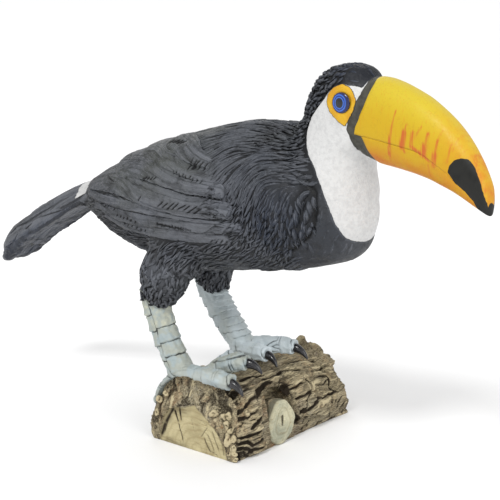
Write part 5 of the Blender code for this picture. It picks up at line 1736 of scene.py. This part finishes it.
# Furrows on the side with the knot: half width and depth in mm, then places as
# degrees round the log and millimetres along it.
FURROWS = (
    (1.3, 2.8, (20, 71), (21, 57), (21, 38), (18, 30), (15, 18), (14, 6)),
    (1.1, 2.4, (41, 66), (35, 67), (26, 64), (21, 70)),
    (1.0, 2.2, (47, 30), (39, 33), (32, 33), (25, 21), (19, 17), (16, 11)),
    (0.9, 1.8, (42, 25), (41, 14), (39, 1)), (1.0, 1.8, (41, 67), (42, 47), (42, 38)),
    (1.0, 1.8, (54, 31), (56, 16), (59, 6)), (1.2, 2.2, (60, 5), (57, -4), (57, -21), (58, -27)),
    (2.4, 2.8, (43, -50), (50, -37), (53, -18)), (1.4, 2.6, (37, -86), (39, -75), (42, -64), (45, -49)),
    (1.2, 2.4, (64, -51), (65, -36), (61, -22)), (4.5, 3.2, (12, 1), (4, 5)),
    (1.5, 2.4, (5, -86), (5, -76), (0, -66), (-2, -50)), (2.6, 2.6, (0, -70), (-1, -64)),
    (1.1, 2.2, (11, -86), (10, -73), (4, -66), (6, -50)), (1.6, 2.4, (21, -68), (23, -59), (27, -46)),
    (1.1, 2.2, (16, -84), (15, -73), (14, -63), (16, -47)), (2.2, 2.8, (55, -66), (53, -76), (51, -86)),
    (1.1, 2.0, (32, -86), (31, -70), (34, -52)), (1.0, 2.0, (70, -60), (76, -84)),
    (1.1, 1.8, (30, 8), (29, 24), (33, 33)), (0.9, 1.6, (36, 40), (33, 52), (36, 66)),
    (1.0, 1.8, (66, 20), (63, 40), (60, 62)), (1.0, 1.8, (50, 44), (49, 60), (52, 74)),
)
# Passages of other paint: degrees round, mm along, radius in mm, and how grey (or tan where under zero).
TONES = ((6, 45, 26, 0.95), (14, 22, 14, 0.7), (80, -68, 24, 1.0), (60, -80, 18, 0.8), (100, -86, 34, 1.0),
         (30, 45, 14, -0.9), (32, 72, 9, -0.7), (44, 15, 15, -0.6), (62, 40, 16, 0.3), (16, -44, 9, 0.8),
         (30, -64, 13, -0.5), (6, -72, 12, 0.3))


def log_relief(points):
    """Height of the bark in mm, its crest, sawn face, growth rings, tone, and where it rolls over."""
    mm = points / MM
    x, y, z = mm.T
    around = np.degrees(np.arctan2(z - 8, x))
    sawn = smooth_step(-LOG_HALF_LENGTH + 2.2, -LOG_HALF_LENGTH + 0.9, y)
    within = depth_inside(mm[:, (0, 2)], SAWN_FACE)
    within += 1.6 * layered(points * np.array([1, 0, 1]), 0.012, 51, 3)
    face = sawn * smooth_step(-0.6, 0.8, within)
    # grooves run along the log in waves that meet and part, in three sizes
    wave = 7.0 * noise(points, (0.034, 0.030, 0.034), 52) + 3.0 * noise(points, (0.014, 0.013, 0.014), 53)
    lane = np.stack([around * 0.95 + wave, y, np.zeros(len(y))], axis=1)
    broad, middle, fine = (
        np.exp(-(noise(lane, (size, reach, 1.0), seed) / breadth) ** 2) for size, reach, breadth, seed in (
            (10.0, 46.0, 0.13, 54), (5.6, 26.0, 0.17, 55), (3.1, 15.0, 0.24, 56)))
    waves = noise(lane, (7.0, 22.0, 1.0), 59)
    ridges = waves + 0.6 - 1.9 * broad - 1.2 * middle - 0.6 * fine
    # plates: slabs of bark with broken ends
    broken = np.stack([around + 0.8 * wave, y + 5.0 * noise(points, 0.01, 57), np.zeros(len(y))], axis=1)
    plate = noise(broken, (26.0, 26.0, 1.0), 58)
    step = 3.0 * smooth_step(-0.04, 0.04, plate) - 1.5 + 1.8 * smooth_step(0.28, 0.33, plate)
    rift = np.exp(-(plate / 0.03) ** 2) + np.exp(-((plate - 0.30) / 0.03) ** 2)
    height = ridges + step - 1.8 * rift
    # furrows of their own between the big plates, each with a raised lip
    flat = np.stack([around * 0.95 + 0.9 * noise(points, 0.006, 70),
                     y + 0.9 * noise(points, 0.006, 71)], axis=1)
    cut = np.zeros(len(y))
    lip = np.zeros(len(y))
    for half, deep, *line in FURROWS:
        gap, along = edge_distance(flat, [(turn * 0.95, place) for turn, place in line])
        ends = np.clip(6 * np.minimum(along, 1 - along) + 0.45, 0, 1)
        cut = np.maximum(cut, deep * ends * np.exp(-(gap / half) ** 2))
        lip = np.maximum(lip, ends * np.exp(-((gap - half - 1.3) / 0.9) ** 2))
    near_side = (x > 0) * smooth_step(-LOG_HALF_LENGTH - 0.5, -LOG_HALF_LENGTH + 1.5, y)
    cut *= near_side
    lip *= near_side * (1 - np.clip(cut, 0, 1))
    # a raised slab at the far foot, hatched aslant
    slab = smooth_step(21, 18, around) * smooth_step(8, 13, y) * near_side
    aslant = np.stack([0.8 * flat[:, 0] - 0.6 * y, 0.6 * flat[:, 0] + 0.8 * y, np.zeros(len(y))], axis=1)
    hatch = np.exp(-(noise(aslant, (2.3, 13.0, 1.0), 72) / 0.2) ** 2) * slab
    height += 1.2 * slab - 0.7 * hatch - cut + 0.5 * lip
    # hollow beside the knot, and the knot's own collar
    gap = np.hypot((y - (KNOT[1] + 17)) / 9.0, (z - 47) / 8.0)
    hollow = np.exp(-gap ** 2) * smooth_step(30, 42, x)
    height -= 4.5 * hollow
    # the shoulder over the sawn end is worn away on the side turned from the knot
    height -= 4.5 * smooth_step(22, 42, -x) * smooth_step(24, 42, z) * smooth_step(-25, -60, y)
    collar = np.hypot((y - KNOT[1] + 3) / (KNOT[3] + 5.5), (z - KNOT[2]) / (KNOT[4] + 2.5))
    near_knot = smooth_step(1.15, 0.95, collar) * smooth_step(30, 40, x)
    height = height * (1 - near_knot) - 1.2 * near_knot
    low = smooth_step(-LOG_HALF_LENGTH + 26, -LOG_HALF_LENGTH + 8, y)
    # a flake of bark stands up near the far end
    height -= 3.0 * smooth_step(35, 70, y) * smooth_step(35, 55, z)
    flake = smooth_step(-8, 2, x) * smooth_step(31, 24, x) * (z > 40)
    height += flake * np.exp(-((y - 66 - 0.1 * x) / 4.0) ** 2) * (7.5 + 1.5 * np.sin(x / 2.6))
    # keep the footing true and the faces flat
    height *= smooth_step(0.0, 5.0, z)
    # the crest value holds wash and painted shade in the grooves, rifts, furrows, hatching and the hollow by
    # the knot, and a painted highlight on the furrows' lips; it is darker near the sawn end and lighter
    # towards the far end on the knot's side
    crest = 0.66 + 0.13 * waves - 0.36 * broad - 0.30 * middle - 0.2 * fine + 0.05 * step - 0.3 * rift
    crest = np.maximum(crest, 0.26) - 0.08 * low - 0.26 * cut + 0.34 * lip - 0.30 * hatch - 0.5 * hollow
    crest -= 0.24 * smooth_step(-42, -56, y) * (x > 0)
    crest += 0.10 * smooth_step(6, 20, y) * (x > 0)
    # the sawn face: its cracks, and the crumbling bark round it
    shaken = mm[:, (0, 2)] + 0.5 * noise(points, 0.005, 73)[:, None]
    cracks = np.zeros(len(y))
    for ax, az, bx, bz, half, dark in CRACKS:
        gap, along = edge_distance(shaken, ((ax, az), (bx, bz)))
        ends = np.clip(6 * np.minimum(along, 1 - along) + 0.3, 0, 1)
        cracks = np.maximum(cracks, dark * ends * np.exp(-(gap / half) ** 2))
    crumbs = layered(points, (0.0040, 0.0040, 0.0075), 68, 3)
    face_height = -0.6 + 0.35 * layered(points, 0.007, 61, 3) - 1.1 * cracks
    height = height * (1 - sawn) + sawn * (face * face_height + (1 - face) * (0.4 + 2.0 * crumbs))
    face_crest = face * (0.85 - 0.8 * cracks) + (1 - face) * np.maximum(0.33 + 0.75 * crumbs, 0.14)
    crest = np.where(sawn > 0.5, face_crest, crest)
    # growth rings round a heart low in the face
    ring = np.hypot(x - 4, 1.15 * (z - 2)) / 3.4 + 1.3 * layered(points, 0.018, 62, 3)
    stain = smooth_step(11.0, 3.0, within + 4.0 * layered(points, 0.010, 63, 3)) * smooth_step(12, -16, x)
    crest = np.where(face > 0.5, crest - 0.30 * stain, crest)
    tone = np.zeros(len(y))
    for turn, place, radius, grey in TONES:
        tone += grey * np.exp(-(((around - turn) * 0.95) ** 2 + (y - place) ** 2) / radius ** 2)
    tone = tone + 0.5 * layered(points, 0.016, 74, 2)
    # the bark rolls over towards the sawn end
    near_end = smooth_step(-LOG_HALF_LENGTH + 22, -LOG_HALF_LENGTH, y)
    roll = near_end * smooth_step(0.0, 17.0, -within) * smooth_step(22.0, 46.0, z)
    return height, crest, face, ring, tone, roll


class TOUCAN_OT_log(bpy.types.Operator):
    """Log base with furrowed bark, a sawn end and a sawn branch stub"""
    bl_idname = "toucan.log"
    bl_label = "Log"

    def execute(self, context):
        colours = context.scene.toucan_colours
        material = bark_material("painted_resin_bark", colours, colours.sawn, colours.sawn_shade)
        log = joined("log_bark", [node_copy("log")])
        remeshed(log, context.scene.toucan_sizes.log_voxel)
        relaxed(log.data, 4)
        points = points_of(log.data)
        normals = normals_of(log.data)
        height, crest, face, ring, tone, roll = log_relief(points)
        under = smooth_step(0.0012, 0.0004, points[:, 2])
        moved = points + normals * (height * (1 - under) * MM)[:, None]
        # ragged broken plates at the far end
        far = smooth_step(0.070, 0.086, points[:, 1])
        ragged = noise(points * np.array([1, 0, 1]), (0.022, 1, 0.013), 64)
        moved[:, 1] += 0.0085 * roll
        lumps = noise(points * np.array([1, 0, 1]), (0.013, 1, 0.017), 76)
        z = points[:, 2]
        moved[:, 1] += 0.0042 * far * smooth_step(-0.05, 0.15, lumps) * smooth_step(0.010, 0.018, z)
        moved[:, 1] -= 0.005 * far * smooth_step(-0.1, 0.1, ragged) * smooth_step(0.004, 0.012, z)
        moved[:, 2] = np.maximum(moved[:, 2], 0.0)
        put_points(log.data, moved)
        put_values(log.data, crest=crest, sawn=face, ring=ring, tone=tone)
        finished(log, material, "bark_paint", "log")

        middle_y, middle_z, half_y, half_z = (value * MM for value in KNOT[1:])
        turn = np.linspace(0, 2 * math.pi, 72, endpoint=False)
        wobble = 1 + 0.035 * np.sin(3 * turn + 1) + 0.025 * np.sin(7 * turn)
        # share of the full width and place of each ring, then many across the sawn face
        rings = [(0.90, 0.034), (0.98, 0.042), (1.0, 0.047), (1.0, 0.0495), (0.985, 0.0512),
                 (0.955, 0.0522), (0.92, 0.0526)] + [(share, 0.0527) for share in np.linspace(0.90, 0.02, 46)]
        places = []
        for share, x in rings:
            y = middle_y + half_y * share * wobble * np.cos(turn) * (1 - 0.24 * np.maximum(np.sin(turn), 0))
            z = middle_z + half_z * share * wobble * np.sin(turn)
            places.append(np.stack([np.full(len(turn), x), y, np.maximum(z, 0.0008)], axis=1))
        knot = joined("log_knot_sawn", [wrapped_grid(np.array(places))])
        points = points_of(knot.data)
        mm = points / MM
        narrow = 1 - 0.24 * np.clip((mm[:, 2] - KNOT[2]) / KNOT[4], 0, 1)
        radius = np.hypot((mm[:, 1] - KNOT[1]) / (KNOT[3] * narrow), (mm[:, 2] - KNOT[2]) / KNOT[4])
        angle = np.arctan2(mm[:, 2] - KNOT[2], mm[:, 1] - KNOT[1])
        shift = radius + 0.07 * np.sin(3 * angle) + 0.11 * layered(points, 0.010, 66, 2)
        lines = 0.5 + 0.5 * np.cos(shift * 2 * math.pi * 5.5)
        slit = np.exp(-(((mm[:, 1] - KNOT[1] - 0.5) / 1.5) ** 2))
        slit *= smooth_step(6.5, 3.0, np.abs(mm[:, 2] - KNOT[2] - 1.5))
        on_face = smooth_step(50.0, 51.5, mm[:, 0])
        drop = on_face * (0.35 * lines ** 3 + 2.0 * slit + 0.45 * layered(points, 0.006, 67, 3))
        points[:, 0] -= drop * MM
        put_points(knot.data, points)
        crest = 0.9 - on_face * (0.22 * lines ** 3 + 0.62 * slit) - 0.45 * (1 - on_face)
        put_values(knot.data, crest=crest, sawn=mm[:, 0] > 46, ring=shift * 4, tone=0.6)
        pale = bark_material("painted_resin_sawn_knot", colours, colours.knot, colours.knot_shade)
        finished(knot, pale, "sawn_wood_paint", "log_knot")

        beads = []
        chance = np.random.default_rng(7)
        for x, z, y, radius, tall in BEADS:
            bm = bmesh.new()
            thick = radius * 0.42
            upright = Matrix.Translation(((radius - thick) * MM, 0, 0)) @ Matrix.Rotation(math.pi / 2, 4, "X")
            bmesh.ops.create_circle(bm, segments=14, radius=thick * MM, matrix=upright)
            bmesh.ops.spin(bm, geom=bm.verts[:] + bm.edges[:], cent=(0, 0, 0), axis=(0, 0, 1), steps=26,
                           angle=2 * math.pi, use_merge=True)
            turn = (Matrix.Rotation(math.radians(45 + chance.uniform(-40, 30)), 4, "Z")
                    @ Matrix.Rotation(math.radians(90 + chance.uniform(-30, 30)), 4, "X")
                    @ Matrix.Diagonal((chance.uniform(0.75, 1.1), tall * chance.uniform(0.9, 1.1), 1.3, 1)))
            bmesh.ops.transform(bm, matrix=turn, verts=bm.verts)
            bmesh.ops.translate(bm, verts=bm.verts, vec=(x * MM, y * MM, z * MM))
            bmesh.ops.recalc_face_normals(bm, faces=bm.faces)
            beads.append(bm)
        curls = joined("bark_curls", beads)
        points = points_of(curls.data)
        bumps = layered(points, 0.0042, 71, 3)
        put_points(curls.data, points + normals_of(curls.data) * (0.0019 * bumps)[:, None])
        # the side of each curl turned forward and up is painted lighter and the far side darker: painted
        # light and shade, on top of the bumps
        facing = normals_of(curls.data) @ np.array([0.62, -0.62, 0.48])
        put_values(curls.data, crest=0.34 + 0.75 * facing + 0.8 * bumps, tone=0.4, sawn=0.0, ring=0.0)
        finished(curls, material, "bark_paint")
        return {"FINISHED"}


# --------------------------------------------------------------------- stage
CAMERA_PLACE = (0.750, -0.899, 0.4265)       # metres, in the row's frame
CAMERA_LOOK = Vector((-0.628, 0.748, -0.214))
LENS, SENSOR = 93.6, 36.0                    # mm
SKY = 0.80                                   # strength of the white surroundings
LIT_PLACE = Vector((0.0, -0.03, 0.2))        # what the lamps point at
LAMPS = (
    ("key", "SUN", (0.15, -0.95, 1.25), {"energy": 1.4, "angle": math.radians(14)}),
    ("fill", "AREA", (1.5, -0.5, 0.8), {"energy": 7.0, "size": 1.0}),
    ("rim", "AREA", (-1.2, 0.9, 1.1), {"energy": 4.0, "size": 0.9}),
)


def aimed(name, data, place, way):
    """An object that looks along a direction, for a lamp or the camera."""
    item = add_object(name, data)
    item.location = place
    item.rotation_euler = way.to_track_quat("-Z", "Y").to_euler()
    return item


class TOUCAN_OT_stage(bpy.types.Operator):
    """Floor, soft light and camera"""
    bl_idname = "toucan.stage"
    bl_label = "Stage"

    def execute(self, context):
        colours = context.scene.toucan_colours
        bm = bmesh.new()
        bmesh.ops.create_grid(bm, x_segments=1, y_segments=1, size=40.0)
        mesh = bpy.data.meshes.new("floor")
        bm.to_mesh(mesh)
        bm.free()
        floor = add_object("floor", mesh)
        mesh.materials.append(new_material("studio_paper", colours.floor, 0.9)[0])
        world = bpy.data.worlds.new("studio")
        context.scene.world = world
        world.use_nodes = True
        sky = world.node_tree.nodes["Background"]
        sky.inputs["Color"].default_value = (1.0, 1.0, 1.0, 1.0)
        sky.inputs["Strength"].default_value = SKY
        for name, kind, place, settings in LAMPS:
            lamp = bpy.data.lights.new(name, kind)
            for key, value in settings.items():
                setattr(lamp, key, value)
            aimed(name, lamp, place, LIT_PLACE - Vector(place))
        camera = bpy.data.cameras.new("camera")
        camera.lens = LENS
        camera.sensor_width = SENSOR
        camera.clip_start = 0.05
        context.scene.camera = aimed("camera", camera, CAMERA_PLACE, CAMERA_LOOK)
        context.scene.view_settings.view_transform = "Standard"
        return {"FINISHED"}


# --------------------------------------------------------------------- panel
OPERATORS = (TOUCAN_OT_skin, TOUCAN_OT_wings, TOUCAN_OT_tail, TOUCAN_OT_coat, TOUCAN_OT_bill,
             TOUCAN_OT_eyes, TOUCAN_OT_legs, TOUCAN_OT_claws, TOUCAN_OT_log, TOUCAN_OT_stage)


class TOUCAN_PT_panel(bpy.types.Panel):
    """Lists the statue's pieces and settings"""
    bl_idname = "TOUCAN_PT_panel"
    bl_label = "Toucan statue"
    bl_space_type = "VIEW_3D"
    bl_region_type = "UI"
    bl_category = "Toucan"

    def draw(self, context):
        for operator in OPERATORS:
            self.layout.operator(operator.bl_idname)
        for group in (context.scene.toucan_sizes, context.scene.toucan_colours):
            box = self.layout.box()
            for key in group.bl_rna.properties.keys():
                if key not in ("rna_type", "name"):
                    box.prop(group, key)


CLASSES = (ToucanColours, ToucanSizes, *OPERATORS, TOUCAN_PT_panel)


def register():
    for item in CLASSES:
        bpy.utils.register_class(item)
    bpy.types.Scene.toucan_colours = bpy.props.PointerProperty(type=ToucanColours)
    bpy.types.Scene.toucan_sizes = bpy.props.PointerProperty(type=ToucanSizes)


def unregister():
    del bpy.types.Scene.toucan_sizes
    del bpy.types.Scene.toucan_colours
    for item in reversed(CLASSES):
        bpy.utils.unregister_class(item)


def main():
    register()
    for operator in OPERATORS:
        group, name = operator.bl_idname.split(".")
        getattr(getattr(bpy.ops, group), name)()


if __name__ == "__main__":
    main()
